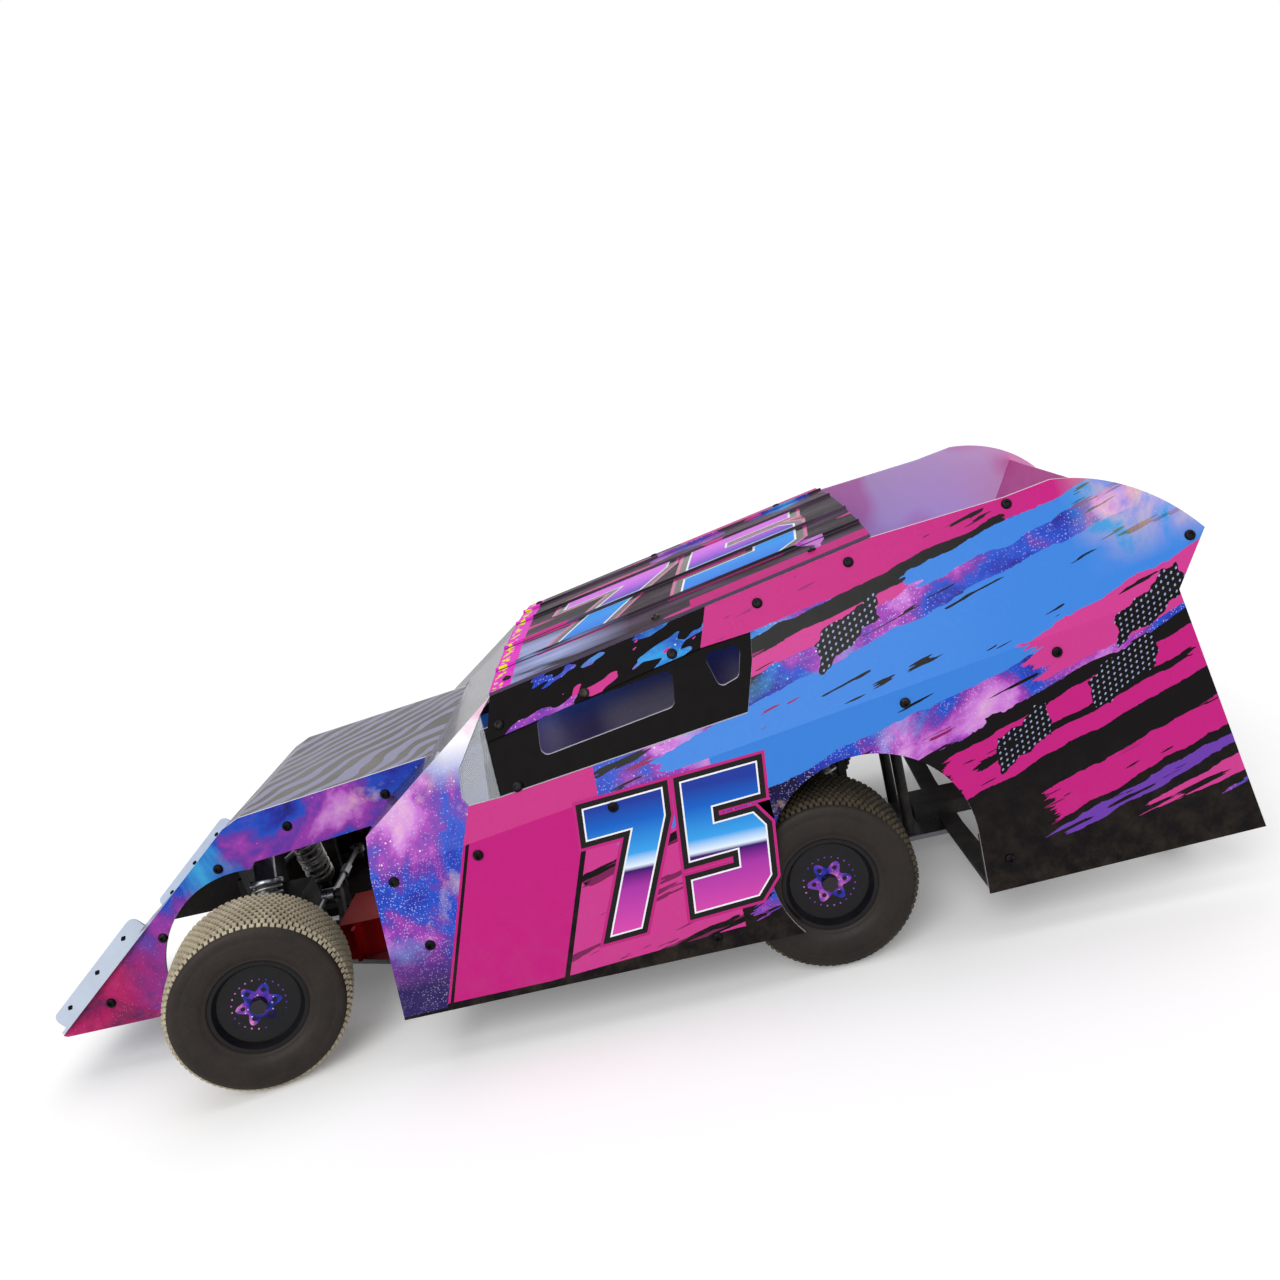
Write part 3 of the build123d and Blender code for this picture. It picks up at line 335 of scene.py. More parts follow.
def front_wrap():
    g = Graph("wrap_front")
    x, y, z = g.split(g.place)
    sky = galaxy(g)
    # Crimson low on the nose, navy at the pillar's foot, pale near the roof corner
    low_nose = g.times(g.fade(y, -0.215, -0.262), g.fade(z, 0.085, 0.055))
    embers = g.ramp(g.noise(g.place, 26.0, 6.0, 0.6, 0.4), [
        (0.36, PLUM), (0.48, CRIMSON), (0.60, colour("c42a78")), (0.72, HAZE),
    ])
    sky = g.mix(low_nose, sky, embers)
    foot = g.times(g.fade(y, -0.125, -0.115), g.fade(z, 0.064, 0.040))
    sky = g.mix(foot, sky, colour("2c1f5c"))
    corner = g.times(g.fade(z, 0.126, 0.146), g.fade(y, -0.09, -0.065))
    sky = g.mix(corner, sky, g.ramp(g.noise(g.place, 40.0, 5.0), [(0.4, colour("e9b7d0")), (0.6, WHITE)]))
    sky = with_stars(g, sky)
    sill = g.below(g.minus(z, g.times_plus(y, 0.02, 0.0295)), 0.0)
    on_side = g.above(g.size(x), 0.1)
    sky = g.mix(g.times(sill, on_side), sky, INK)
    g.set(Base_Color=dusty(g, sheet_faces(g, sky), 0.12))
    return glossy_film(g)


# Painted streaks on the sides, lowest first: colour, angle, along (from, to), across (from, to), tear
DOOR_STREAKS = (
    (PINK, 14, (-0.030, 0.075), (0.020, 0.100), 0.004),
    (INK, 14, (0.004, 0.080), (0.073, 0.078), 0.003),
    (INK, 14, (-0.020, 0.060), (0.024, 0.029), 0.003),
    (SKY_BLUE, 14, (0.030, 0.085), (0.080, 0.094), 0.004),
)
QUARTER_STREAKS = (
    (SKY_BLUE, 15, (0.060, 0.345), (0.076, 0.112), 0.006),
    (MAGENTA, 11, (0.085, 0.300), (0.148, 0.190), 0.003),
    (PINK, 17, (0.035, 0.200), (0.118, 0.128), 0.005),
    (INK, 14, (0.100, 0.250), (0.132, 0.139), 0.004),
    (INK, 18, (0.150, 0.345), (-0.040, 0.046), 0.007),
    (MAGENTA, 18, (0.176, 0.345), (0.018, 0.040), 0.006),
    (PINK, 18, (0.235, 0.330), (0.050, 0.070), 0.006),
    (INK, 18, (0.190, 0.300), (0.027, 0.031), 0.005),
    (MAGENTA, 18, (0.215, 0.345), (-0.012, 0.003), 0.006),
    (VIOLET, 18, (0.205, 0.300), (-0.022, -0.016), 0.006),
    (PINK, 18, (0.230, 0.335), (-0.036, -0.027), 0.006),
    (INK, 18, (0.170, 0.290), (0.004, 0.010), 0.005),
    (SKY_BLUE, 15, (0.200, 0.330), (0.123, 0.131), 0.006),
)

# Patches of dots on the quarters: centre and half size in the side view
DOT_PATCHES = (
    ((0.245, 0.118), (0.016, 0.008)), ((0.196, 0.097), (0.013, 0.008)),
    ((0.262, 0.146), (0.017, 0.007)), ((0.128, 0.160), (0.016, 0.006)),
)
DOT_PITCH = 2.7 * MM


def painted_streaks(g, paint, table):
    frames = {}
    for tint, degrees, along, across, tear in table:
        if degrees not in frames:
            frames[degrees] = streak_frame(g, degrees)
        paint = g.mix(torn_band(g, frames[degrees], along, across, tear), paint, tint)
    return paint


def halftone(g, centre, half, pitch):
    # A ragged dark patch with a grid of pale dots, in the side view.
    _, y, z = g.split(g.place)
    u = g.minus(y, centre[0])
    v = g.minus(z, centre[1])
    skew = g.times_plus(u, -0.55, v)
    edge = g.times_plus(g.noise(g.place, 90.0, 3.0), 0.012, -0.006)
    gap_along = g.minus(half[0], g.size(g.math("ADD", u, edge)))
    gap_across = g.minus(half[1], g.size(g.math("ADD", skew, edge)))
    inside = g.math("MINIMUM", gap_along, gap_across)
    patch = g.above(inside, 0.0)
    gap_u = g.minus(g.math("PINGPONG", u, pitch), pitch / 2)
    gap_v = g.minus(g.math("PINGPONG", skew, pitch), pitch / 2)
    radius = g.math("SQRT", g.math("ADD", g.times(gap_u, gap_u), g.times(gap_v, gap_v)))
    return patch, g.below(radius, pitch * 0.2)


def door_wrap():
    g = Graph("wrap_door")
    _, y, z = g.split(g.place)
    streak = streak_frame(g, 14)
    rear = with_stars(g, galaxy(g))
    rear = painted_streaks(g, rear, DOOR_STREAKS)
    rear = g.mix(slashes(g, streak, 0.36, 2.0), rear, colour("7a1f55"))
    rear = g.mix(slashes(g, streak, 0.20, 9.0), rear, INK)
    # The plain magenta front field ends at a slanted black line
    border = g.minus(y, g.times_plus(z, 0.36, -0.0425))
    paint = g.mix(g.below(border, 0.0), rear, MAGENTA)
    line = g.below(g.size(border), 0.0012)
    paint = g.mix(line, paint, INK)
    front_line = g.minus(y, g.times_plus(z, 0.346, -0.0965))
    paint = g.mix(g.below(g.size(front_line), 0.0008), paint, INK)
    sill = g.below(z, g.times_plus(g.fade(y, -0.04, 0.05), 0.006, 0.0295))
    paint = g.mix(sill, paint, INK)
    g.set(Base_Color=dusty(g, sheet_faces(g, paint), 0.12))
    return glossy_film(g)


def quarter_wrap():
    g = Graph("wrap_quarter")
    _, y, z = g.split(g.place)
    streak = streak_frame(g, 16)
    paint = with_stars(g, galaxy(g))
    paint = painted_streaks(g, paint, QUARTER_STREAKS)
    for centre, half in DOT_PATCHES:
        patch, dots = halftone(g, centre, half, DOT_PITCH)
        paint = g.mix(patch, paint, g.mix(dots, INK, colour("8f9cc0")))
    paint = g.mix(slashes(g, streak, 0.26, 5.0), paint, INK)
    paint = g.mix(slashes(g, streak, 0.10, 7.5), paint, colour("8a1f5f"))
    # Dark foot of the tail, torn at its upper edge
    ragged = g.noise(g.stretched(*streak, 22, 260, 1.1), 1.0, 3.0)
    rise = g.times_plus(g.fade(y, 0.17, 0.30), 0.012, 0.0215)
    top = g.times_plus(ragged, 0.046, rise)
    paint = g.mix(g.below(z, top), paint, INK)
    # Pale pastel clouds at the top of the tail
    pastel = g.times(g.fade(y, 0.235, 0.285), g.fade(g.minus(z, g.times(y, 0.2)), 0.110, 0.135))
    pale = g.ramp(g.noise(g.place, 24.0, 5.0, 0.6, 0.5), [
        (0.32, colour("3f74d8")), (0.42, CYAN), (0.50, colour("b6a4dc")), (0.58, PEACH), (0.66, TEAL),
    ])
    paint = g.mix(pastel, paint, with_stars(g, pale))
    # Magenta under the window, as far as the end of the door's plain field
    band = g.minus(z, g.times_plus(y, FOLD_SLOPE, FOLD_Z + 0.020))
    front = g.times(g.below(y, 0.0015), g.below(band, 0.0))
    paint = g.mix(front, paint, MAGENTA)
    lining = g.ramp(g.noise(g.place, 9.0, 2.0, 0.5), [(0.44, colour("f0cdee")), (0.50, colour("ee9ccf"))])
    g.set(Base_Color=dusty(g, sheet_faces(g, paint, lining), 0.12))
    return glossy_film(g)


def visor_wrap():
    g = Graph("wrap_visor")
    u, v = streak_frame(g, 22)
    splash = g.noise(g.stretched(u, v, 34, 120, 4.0), 1.0, 2.0, 0.5)
    spray = g.noise(g.stretched(u, v, 40, 110, 12.0), 1.0, 2.0, 0.5)
    paint = g.mix(g.above(splash, 0.57), INK, with_stars(g, galaxy(g)))
    paint = g.mix(g.above(spray, 0.59), paint, PINK)
    g.set(Base_Color=sheet_faces(g, paint, INK))
    return glossy_film(g, 0.3, 0.0, 0.03)


def guard_sheet():
    # Satin black outside; the inner face, seen through the far slots, is a dull brown.
    g = Graph("sheet_guard")
    g.set(Base_Color=sheet_faces(g, colour("080506"), colour("40373a")))
    return glossy_film(g, 0.34, 0.0, 0.04)


def deck_sheet():
    # The deck's wrap runs from violet in the middle to bright blue at the sides.
    g = Graph("sheet_deck")
    x = g.split(g.place)[0]
    cloud = g.noise(g.place, 14.0, 5.0, 0.6, 0.4)
    tone = g.math("ADD", g.times(g.size(x), 5.0), g.times(cloud, 0.5))
    print_side = g.ramp(tone, [(0.25, colour("8d7fd0")), (0.55, colour("5f74e8")), (0.85, colour("3f94ff"))])
    # Faces that don't point up, the deck's underside, get painted shade: a dark colour for the shadow under
    # the deck
    upward = g.above(g.split(g.facing)[2], 0.3)
    g.set(Base_Color=g.mix(upward, PAINTED_SHADE_INNER, with_stars(g, print_side)))
    return glossy_film(g, 0.3, 0.0)


def roof_wrap():
    g = Graph("wrap_roof")
    x, y, _ = g.split(g.place)
    drag = g.stretched(x, y, 70, 11, 0.0)
    grain = g.noise(drag, 1.0, 3.0, 0.55, 0.5)
    ground = g.ramp(grain, [(0.36, colour("1d171c")), (0.50, colour("362a34")), (0.66, colour("54425a"))])
    silver = g.ramp(grain, [(0.40, colour("2b2a33")), (0.46, colour("7f86b0")), (0.62, colour("a3adda"))])
    near_front = g.times(g.fade(y, 0.030, -0.005), g.fade(x, 0.020, 0.050))
    ground = g.mix(near_front, ground, silver)
    sky = with_stars(g, galaxy(g))
    clouds = g.noise(g.shifted(g.place, (8.0, 2.0, 0.0)), 14.0, 2.0, 0.5)
    ground = g.mix(g.above(clouds, 0.60), ground, sky)
    ground = g.mix(g.above(g.noise(drag, 0.8, 2.0, 0.5), 0.62), ground, PINK)
    edge = g.times(g.above(g.size(x), 0.081), g.above(y, 0.060))
    ground = g.mix(edge, ground, MAGENTA)
    strip = g.below(y, ROOF_FRONT[0] + 0.0105)
    flecks = g.above(g.noise(g.stretched(x, y, 260, 240, 2.0), 1.0, 1.0), 0.54)
    band = g.mix(flecks, STRIP_PINK, STRIP_YELLOW)
    inner = g.below(g.size(g.minus(y, ROOF_FRONT[0] + 0.0038)), 0.0024)
    ground = g.mix(strip, ground, g.mix(inner, STRIP_PINK, band))
    nz = g.split(g.facing)[2]
    top = g.above(nz, 0.3)
    under = g.below(nz, -0.3)
    paint = g.mix(top, g.mix(under, colour("51465a"), colour("4d4652")), ground)
    g.set(Base_Color=paint)
    return glossy_film(g, 0.34, 0.0, 0.02)


def hood_sheet():
    g = Graph("sheet_hood")
    x, y, _ = g.split(g.place)
    bend = g.noise(g.place, 14.0, 2.0)
    wave = g.times_plus(bend, 0.075, g.times_plus(x, 0.9, y))
    cycle = g.math("PINGPONG", wave, 0.0085)
    taper = g.times_plus(g.noise(g.place, 60.0, 3.0), 0.006, 0.0008)
    stripe = g.below(cycle, taper)
    smoke = g.ramp(g.noise(g.place, 20.0, 4.0), [(0.35, colour("4d4946")), (0.65, colour("686461"))])
    paint = g.mix(stripe, smoke, colour("83829f"))
    front = g.fade(y, -0.205, -0.250)
    paint = g.mix(front, paint, g.mix(0.5, paint, with_stars(g, galaxy(g))))
    g.set(Base_Color=dusty(g, paint, 0.2, 0.06, 0.12))
    return glossy_film(g, 0.3, 0.0, 0.08)


def plain_gloss(name, tint, roughness=0.25, shade=0.9, scale=60.0, coat=0.3):
    g = Graph(name)
    wear = g.noise(g.place, scale, 6.0, 0.65)
    darker = tuple([c * shade for c in tint[:3]] + [1.0])
    g.set(Base_Color=g.ramp(wear, [(0.38, darker), (0.62, tint)]))
    return glossy_film(g, roughness, coat)


def moulded(name, tint, roughness=0.55, dust=0.25):
    # Nylon or rubbery plastic with a fine grain and dust in it.
    g = Graph(name)
    grain = g.noise(g.place, 900.0, 3.0, 0.7)
    g.bump(grain, 0.25, 0.0001)
    blotch = g.fade(g.noise(g.place, 70.0, 6.0, 0.7), 0.45, 0.75)
    g.set(Base_Color=g.mix(g.times(blotch, dust), tint, colour("7d6c55")))
    g.set(Roughness=g.times_plus(grain, 0.2, roughness - 0.1))
    return g.material


def metal(name, tint, roughness=0.3, turned=True):
    g = Graph(name)
    grain = g.noise(g.place, 1200.0 if turned else 300.0, 4.0, 0.7)
    g.bump(grain, 0.15, 0.00005)
    stain = g.fade(g.noise(g.place, 120.0, 5.0, 0.7), 0.5, 0.8)
    g.set(Base_Color=g.mix(g.times(stain, 0.35), tint, colour("6b6154")))
    g.set(Metallic=1.0, Roughness=g.times_plus(grain, 0.3, roughness - 0.12))
    return g.material


def clear_sheet(name, tint, alpha, roughness=0.08):
    # Thin clear polycarbonate, with faint scuffs.
    g = Graph(name)
    haze = g.noise(g.place, 45.0, 6.0, 0.7)
    g.set(Base_Color=tint, Alpha=g.times_plus(haze, 0.16, alpha - 0.08))
    g.set(Roughness=g.times_plus(haze, 0.2, roughness))
    g.set(Coat_Weight=0.6, Coat_Roughness=0.05)
    g.material.surface_render_method = "BLENDED"
    return g.material


def rubber(name, tint, dust_tint, amount, roughness=0.8):
    g = Graph(name)
    fine = g.noise(g.place, 700.0, 4.0, 0.7)
    g.bump(fine, 0.4, 0.00012)
    smear = g.fade(g.noise(g.place, 55.0, 7.0, 0.72, 0.4), 0.36, 0.72)
    speck = g.fade(g.noise(g.place, 420.0, 3.0, 0.7), 0.50, 0.68)
    dust = g.times(g.times_plus(speck, 0.35, g.times(smear, 0.75)), amount)
    g.set(Base_Color=g.mix(dust, tint, dust_tint))
    g.set(Roughness=g.times_plus(fine, 0.15, roughness - 0.05))
    g.set(Specular_IOR_Level=0.3)
    return g.material


def number_fill(name, axis, low, high, stops):
    # A vertical fade of colours, as on a painted number.
    g = Graph(name)
    value = g.split(g.place)[axis]
    g.set(Base_Color=g.ramp(g.fade(value, low, high), stops))
    return glossy_film(g, 0.3, 0.0, 0.03)


M = {
    "front": front_wrap(),
    "door": door_wrap(),
    "quarter": quarter_wrap(),
    "visor": visor_wrap(),
    "roof": roof_wrap(),
    "hood": hood_sheet(),
    "nose_plate": plain_gloss("plate_pale", colour("c6d2e4"), 0.18, 0.93),
    "spoiler": plain_gloss("sheet_pink", colour("cf5a9c"), 0.3, 0.92),
    "deck": deck_sheet(),
    "guard": guard_sheet(),
    "clear": clear_sheet("sheet_clear", colour("d4dbe4"), 0.26),
    "smoky": clear_sheet("sheet_smoky", colour("5d5a66"), 0.52),
    "black": moulded("nylon_black", colour("17161a")),
    "carbon": moulded("plate_carbon", colour("202024"), 0.4, 0.15),
    "alloy": metal("alloy_plate", colour("8b8d92"), 0.4, False),
    "steel": metal("steel_turned", colour("9a9a9e"), 0.3),
    "axle": metal("steel_dark", colour("3a383b"), 0.42),
    "shock": metal("shock_body", colour("a7abb3"), 0.28),
    "spring": metal("spring_wire", colour("c9c6bf"), 0.35),
    "screw": metal("screw_black", colour("1c1b1e"), 0.4),
    "rim": plain_gloss("rim_black", colour("121114"), 0.35, 0.7, 90.0),
    # The lip ring is lighter than the black rim: a painted highlight along the rim's lip
    "ring": plain_gloss("rim_painted_highlight", colour("4a4540"), 0.25, 0.8),
    "motor": metal("motor_can", colour("5d6068"), 0.35),
    "battery": plain_gloss("battery_case", colour("1e2a55"), 0.35),
    "red": metal("servo_red", colour("a11218"), 0.35),
    "side_front": rubber("rubber_side_front", colour("1c1511"), colour("40342a"), 0.4, 0.55),
    "side_rear": rubber("rubber_side_rear", colour("19130f"), colour("3a2f26"), 0.4, 0.55),
    "groove_front": rubber("rubber_groove_front", colour("231f1a"), colour("5c5342"), 0.7),
    "tread_front": rubber("rubber_tread_front", colour("a1967f"), colour("d3c8ae"), 0.9),
    "tread_rear": rubber("rubber_tread_rear", colour("2c2822"), colour("6b5e4a"), 0.8),
    "ink": plain_gloss("film_ink", INK, 0.25, 0.8),
    "outline": plain_gloss("film_pink", MAGENTA, 0.22, 0.95),
    "white_film": plain_gloss("film_white", WHITE, 0.22, 0.95),
}

NODE_MATERIALS = {
    "nose_side": "front", "pillar_panel": "front", "door": "door", "quarter": "quarter",
    "window_visor": "visor", "roof": "roof", "hood": "hood", "nose_plate": "nose_plate",
    "spoiler": "spoiler", "deck": "deck",
    "window_guard": "guard", "window_corners": "clear", "windscreen": "smoky", "chassis_plate": "alloy",
    "front_tower": "carbon", "rear_tower": "carbon", "knuckle": "axle", "drive_shaft": "axle",
    "tie_rod": "steel", "camber_links": "steel", "rim_front": "rim", "rim_rear": "rim", "motor": "motor",
    "battery": "battery", "servo": "red",
}


def base_name(node):
    return node.removesuffix("_left").removesuffix("_right")


def dress_nodes():
    for name, node in frame["nodes"].items():
        node.data.materials.clear()
        node.data.materials.append(M[NODE_MATERIALS.get(base_name(name), "black")])


# Mesh helpers

def mesh_object(name, vertices, faces, materials, face_materials=None, smooth=False):
    mesh = bpy.data.meshes.new(name)
    mesh.from_pydata([tuple(v) for v in vertices], [], faces)
    for material in materials:
        mesh.materials.append(material)
    if face_materials:
        mesh.polygons.foreach_set("material_index", face_materials)
    mesh.polygons.foreach_set("use_smooth", [smooth] * len(mesh.polygons))
    mesh.update()
    piece = bpy.data.objects.new(name, mesh)
    bpy.context.scene.collection.objects.link(piece)
    return piece


def aim(origin, direction):
    # A frame at origin whose Z runs along direction.
    turn = Vector(direction).to_track_quat("Z", "Y").to_matrix().to_4x4()
    return Matrix.Translation(Vector(origin)) @ turn


def polar(radius, turn):
    return radius * math.cos(turn), radius * math.sin(turn)


def scaled(points, base=0.0):
    # A profile's (radius, height over base), given in millimetres.
    return [(radius * MM, base + height * MM) for radius, height in points]


def turns(count):
    # Evenly spaced angles round a circle.
    return [2 * math.pi * i / count for i in range(count)]


def lathe(profile, where, segments=40):
    # Closed solid of revolution about the frame's Z. The profile is (radius, height), from axis to axis.
    vertices, faces, rows = [], [], []
    for radius, height in profile:
        if radius < 1e-7:
            rows.append([len(vertices)])
            vertices.append(where @ Vector((0, 0, height)))
        else:
            rows.append(list(range(len(vertices), len(vertices) + segments)))
            vertices += [where @ Vector((*polar(radius, turn), height)) for turn in turns(segments)]
    for low, high in zip(rows, rows[1:]):
        for i in range(segments):
            j = (i + 1) % segments
            if len(low) == 1 and len(high) > 1:
                faces.append((low[0], high[j], high[i]))
            elif len(high) == 1 and len(low) > 1:
                faces.append((low[i], low[j], high[0]))
            elif len(low) > 1:
                faces.append((low[i], low[j], high[j], high[i]))
    return vertices, faces


def ring_lathe(profile, where, segments=96):
    # Like lathe, for a closed profile that never meets the axis.
    count = len(profile)
    vertices, faces = [], []
    for radius, height in profile:
        vertices += [where @ Vector((*polar(radius, turn), height)) for turn in turns(segments)]
    for k in range(count):
        for i in range(segments):
            j = (i + 1) % segments
            low, high = k * segments, ((k + 1) % count) * segments
            faces.append((low + i, low + j, high + j, high + i))
    return vertices, faces


def combine(parts):
    # Several (vertices, faces) as one.
    vertices, faces = [], []
    for more_vertices, more_faces in parts:
        start = len(vertices)
        vertices += more_vertices
        faces += [tuple(start + i for i in face) for face in more_faces]
    return vertices, faces


def face_outward(piece):
    work = bmesh.new()
    work.from_mesh(piece.data)
    bmesh.ops.recalc_face_normals(work, faces=work.faces)
    work.to_mesh(piece.data)
    work.free()


def add_piece(name, geometry, material, body, smooth=True, replaces=()):
    piece = mesh_object(name, *geometry, [M[material]], smooth=smooth)
    face_outward(piece)
    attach(piece, body)
    if replaces:
        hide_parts(*replaces)
    return piece


# Wheels

WHEELS = {
    joint["child"]: joint for joint in frame["joints"] if joint["child"].startswith("wheel_")
}


def wheel_frame(body):
    # Z runs outward along the axle.
    joint = WHEELS[body]
    axle = Vector(joint["axis"]).normalized()
    if body.endswith("right"):
        axle = -axle
    return aim(joint["pos_m"], axle)


def crown(a):
    # Radius of the tread's base across its width.
    return TYRE_RADIUS - 1.5 * MM - 0.8 * MM * (a / TREAD_HALF) ** 2


def tyre_profile():
    # (radius, offset from the middle), from the inner bead round the tread to the outer bead.
    wall = [
        (0, 17.5), (0.5, 18.6), (1.6, 19.0), (2.2, 19.0), (3.0, 19.9), (5.5, 20.7), (8.5, 20.95),
        (11.5, 20.95), (12.0, 20.75), (12.5, 20.9), (15.0, 20.4), (17.2, 19.5),
    ]
    outer = [(RIM_RADIUS + rise * MM, offset * MM) for rise, offset in wall]
    outer += [(crown(0) - 1.7 * MM, 18.2 * MM), (crown(TREAD_HALF) - 0.1 * MM, 17.2 * MM)]
    tread = [(crown(a * MM), a * MM) for a in (14, 11, 8, 4, 0, -4, -8, -11, -14)]
    inner = [(radius, -offset) for radius, offset in reversed(outer)]
    return outer + tread + inner


def lug(where, radius, offset, angle, size, height, tilt=0.0):
    # One tapered rubber pin. Size is (across, around) in metres; tilt leans it towards the sidewall.
    half_a, half_t = size[0] / 2, size[1] / 2
    vertices = []
    for lift, scale in ((-0.3 * MM, 1.15), (height, 0.85)):
        for da, dt in ((-1, -1), (1, -1), (1, 1), (-1, 1)):
            across = da * half_a * scale
            r = radius + lift * math.cos(tilt) - across * math.sin(tilt)
            z = offset + across * math.cos(tilt) + lift * math.sin(tilt)
            turn = angle + dt * half_t * scale / radius
            vertices.append(where @ Vector((*polar(r, turn), z)))
    faces = [(3, 2, 1, 0), (4, 5, 6, 7), (0, 1, 5, 4), (1, 2, 6, 5), (2, 3, 7, 6), (3, 0, 4, 7)]
    return vertices, faces


# Lug columns: offset from the middle, and the lean towards the sidewall
LUG_COLUMNS = [(a * 3.1 * MM, 0.0) for a in range(-5, 6)] + [(18.0 * MM, 0.75), (-18.0 * MM, -0.75)]
LUG_ROWS = 84
LUG_HEIGHT = 1.35 * MM
SHOULDER_LUG_HEIGHT = 0.9 * MM
LUG_SIZES = ((1.9 * MM, 2.2 * MM), (2.3 * MM, 1.9 * MM))
TYRE_SEGMENTS = 112
TREAD_EDGE = 17.6 * MM
SHOULDER_RADIUS = 38 * MM


def make_tyre(corner):
    body = f"wheel_{corner}"
    end = corner.split("_")[0]
    where = wheel_frame(body)
    profile = tyre_profile()
    indices = []
    for k, (radius, offset) in enumerate(profile):
        middle = (offset + profile[(k + 1) % len(profile)][1]) / 2
        on_tread = abs(middle) < TREAD_EDGE and radius > SHOULDER_RADIUS
        indices += [int(on_tread)] * TYRE_SEGMENTS
    rubbers = [M[f"side_{end}"], M["groove_front" if end == "front" else "tread_rear"]]
    carcass = mesh_object(
        f"tyre_carcass_{corner}", *ring_lathe(profile, where, TYRE_SEGMENTS), rubbers, indices, smooth=True,
    )
    face_outward(carcass)
    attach(carcass, body)
    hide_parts(f"tyre_{corner}")
    parts = []
    for column, (offset, lean) in enumerate(LUG_COLUMNS):
        base = crown(offset) if not lean else crown(TREAD_HALF) - 0.8 * MM
        for row in range(LUG_ROWS):
            turn = 2 * math.pi * (row + 0.5 * (column % 2)) / LUG_ROWS
            height = LUG_HEIGHT if not lean else SHOULDER_LUG_HEIGHT
            parts.append(lug(where, base, offset, turn, LUG_SIZES[row % 2], height, lean))
    add_piece(f"tyre_lugs_{corner}", combine(parts), f"tread_{end}", body, smooth=False)


def flat_curve(name, outlines, thickness, where, material, offset=0.0):
    # A thin plate cut to closed outlines; the later ones are holes.
    data = bpy.data.curves.new(name, "CURVE")
    data.dimensions = "2D"
    data.fill_mode = "BOTH"
    data.extrude = thickness / 2
    data.offset = offset
    for outline in outlines:
        spline = data.splines.new("POLY")
        spline.points.add(len(outline) - 1)
        for point, (x, y) in zip(spline.points, outline):
            point.co = (x, y, 0, 1)
        spline.use_cyclic_u = True
    curve = bpy.data.objects.new(name, data)
    mesh = bpy.data.meshes.new_from_object(curve)
    mesh.transform(Matrix(where))
    bpy.data.objects.remove(curve)
    mesh.materials.clear()
    mesh.materials.append(material)
    mesh.name = name
    piece = bpy.data.objects.new(name, mesh)
    bpy.context.scene.collection.objects.link(piece)
    return piece


def circle_points(centre, radius, count=24):
    offsets = [polar(radius, turn) for turn in turns(count)]
    return [(centre[0] + x, centre[1] + y) for x, y in offsets]


def sticker_material():
    g = Graph("wheel_sticker")
    cloud = g.noise(g.place, 90.0, 6.0, 0.6, 0.5)
    sky = g.ramp(cloud, [(0.32, NAVY), (0.44, DEEP_BLUE), (0.54, colour("8a3fb4")), (0.66, colour("e08ac6"))])
    g.set(Base_Color=g.mix(stars(g, 700.0, 0.34, 0.25), sky, WHITE))
    return glossy_film(g, 0.2)


M["sticker"] = sticker_material()


# Hub sticker: a star of lobes, its radii in millimetres, and rings of holes and dots as
# (radius of the ring, radius of each)
LOBES = 6
STAR_RADIUS = 8.6
STAR_WAVE = 2.0
STAR_POINTS = 180
HUB_HOLE = 3.9 * MM
LOBE_HOLES = (7.3 * MM, 1.15 * MM)
DOT_RING = (12.2 * MM, 0.42 * MM)

def make_rim_trim(corner):
    body = f"wheel_{corner}"
    where = wheel_frame(body)
    face = DISH_FACE + 0.1 * MM
    lobed = [
        polar((STAR_RADIUS + STAR_WAVE * math.cos(LOBES * turn)) * MM, turn)
        for turn in turns(STAR_POINTS)
    ]
    hub = circle_points((0, 0), HUB_HOLE)
    holes = [circle_points(polar(LOBE_HOLES[0], turn), LOBE_HOLES[1], 16) for turn in turns(LOBES)]
    dots = [circle_points(polar(DOT_RING[0], turn), DOT_RING[1], 8) for turn in turns(4 * LOBES)]
    for part, outlines in (("star", [lobed, hub] + holes), ("dots", dots)):
        sticker = flat_curve(f"sticker_{part}_{corner}", outlines, 0.16 * MM,
                             where @ Matrix.Translation((0, 0, face)), M["sticker"])
        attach(sticker, body)
    # A lighter ring on the rim's lip: a painted highlight standing in for the lip's glint
    ring = scaled([(20.2, 15.7), (20.8, 17.6), (21.6, 18.0), (22.2, 17.6), (22.0, 15.7)])
    add_piece(f"rim_lip_painted_highlight_{corner}", ring_lathe(ring, where, 96), "ring", body)
    collar = scaled([(2.7, -0.2), (2.7, 1.2), (3.3, 1.4), (3.8, 1.0), (3.9, -0.2)], DISH_FACE)
    add_piece(f"hub_collar_{corner}", ring_lathe(collar, where, 48), "rim", body)


# Shocks, in millimetres as in the solids: foot and head centres, and y of the tower's face
SHOCKS = {
    "front": ((49.0, -190.5, 33.1), (24.0, -190.5, 90.0), -200.5),
    "rear": ((50.0, 108.5, 33.1), (25.0, 108.5, 106.0), 118.5),
}
SPRING_TURNS = 9
COIL_RADIUS = 7.2 * MM
WIRE_RADIUS = 0.75 * MM
SPRING_FOOT = 9.0 * MM
SPRING_SHARE = 0.66


def helix(where, radius, low, high, coils, wire, sides=8, steps=26):
    # A closed-end wire helix about the frame's Z.
    vertices, faces = [], []
    count = coils * steps
    for i in range(count + 1):
        turn = 2 * math.pi * i / steps
        share = i / count
        eased = share - 0.045 * math.sin(4 * math.pi * share)
        height = low + (high - low) * min(1, max(0, eased))
        for k in range(sides):
            angle = 2 * math.pi * k / sides
            r = radius + wire * math.cos(angle)
            vertices.append(where @ Vector((*polar(r, turn), height + wire * math.sin(angle))))
    for i in range(count):
        for k in range(sides):
            j = (k + 1) % sides
            faces.append((i * sides + k, i * sides + j, (i + 1) * sides + j, (i + 1) * sides + k))
    faces.append(tuple(range(sides - 1, -1, -1)))
    faces.append(tuple(count * sides + k for k in range(sides)))
    return vertices, faces


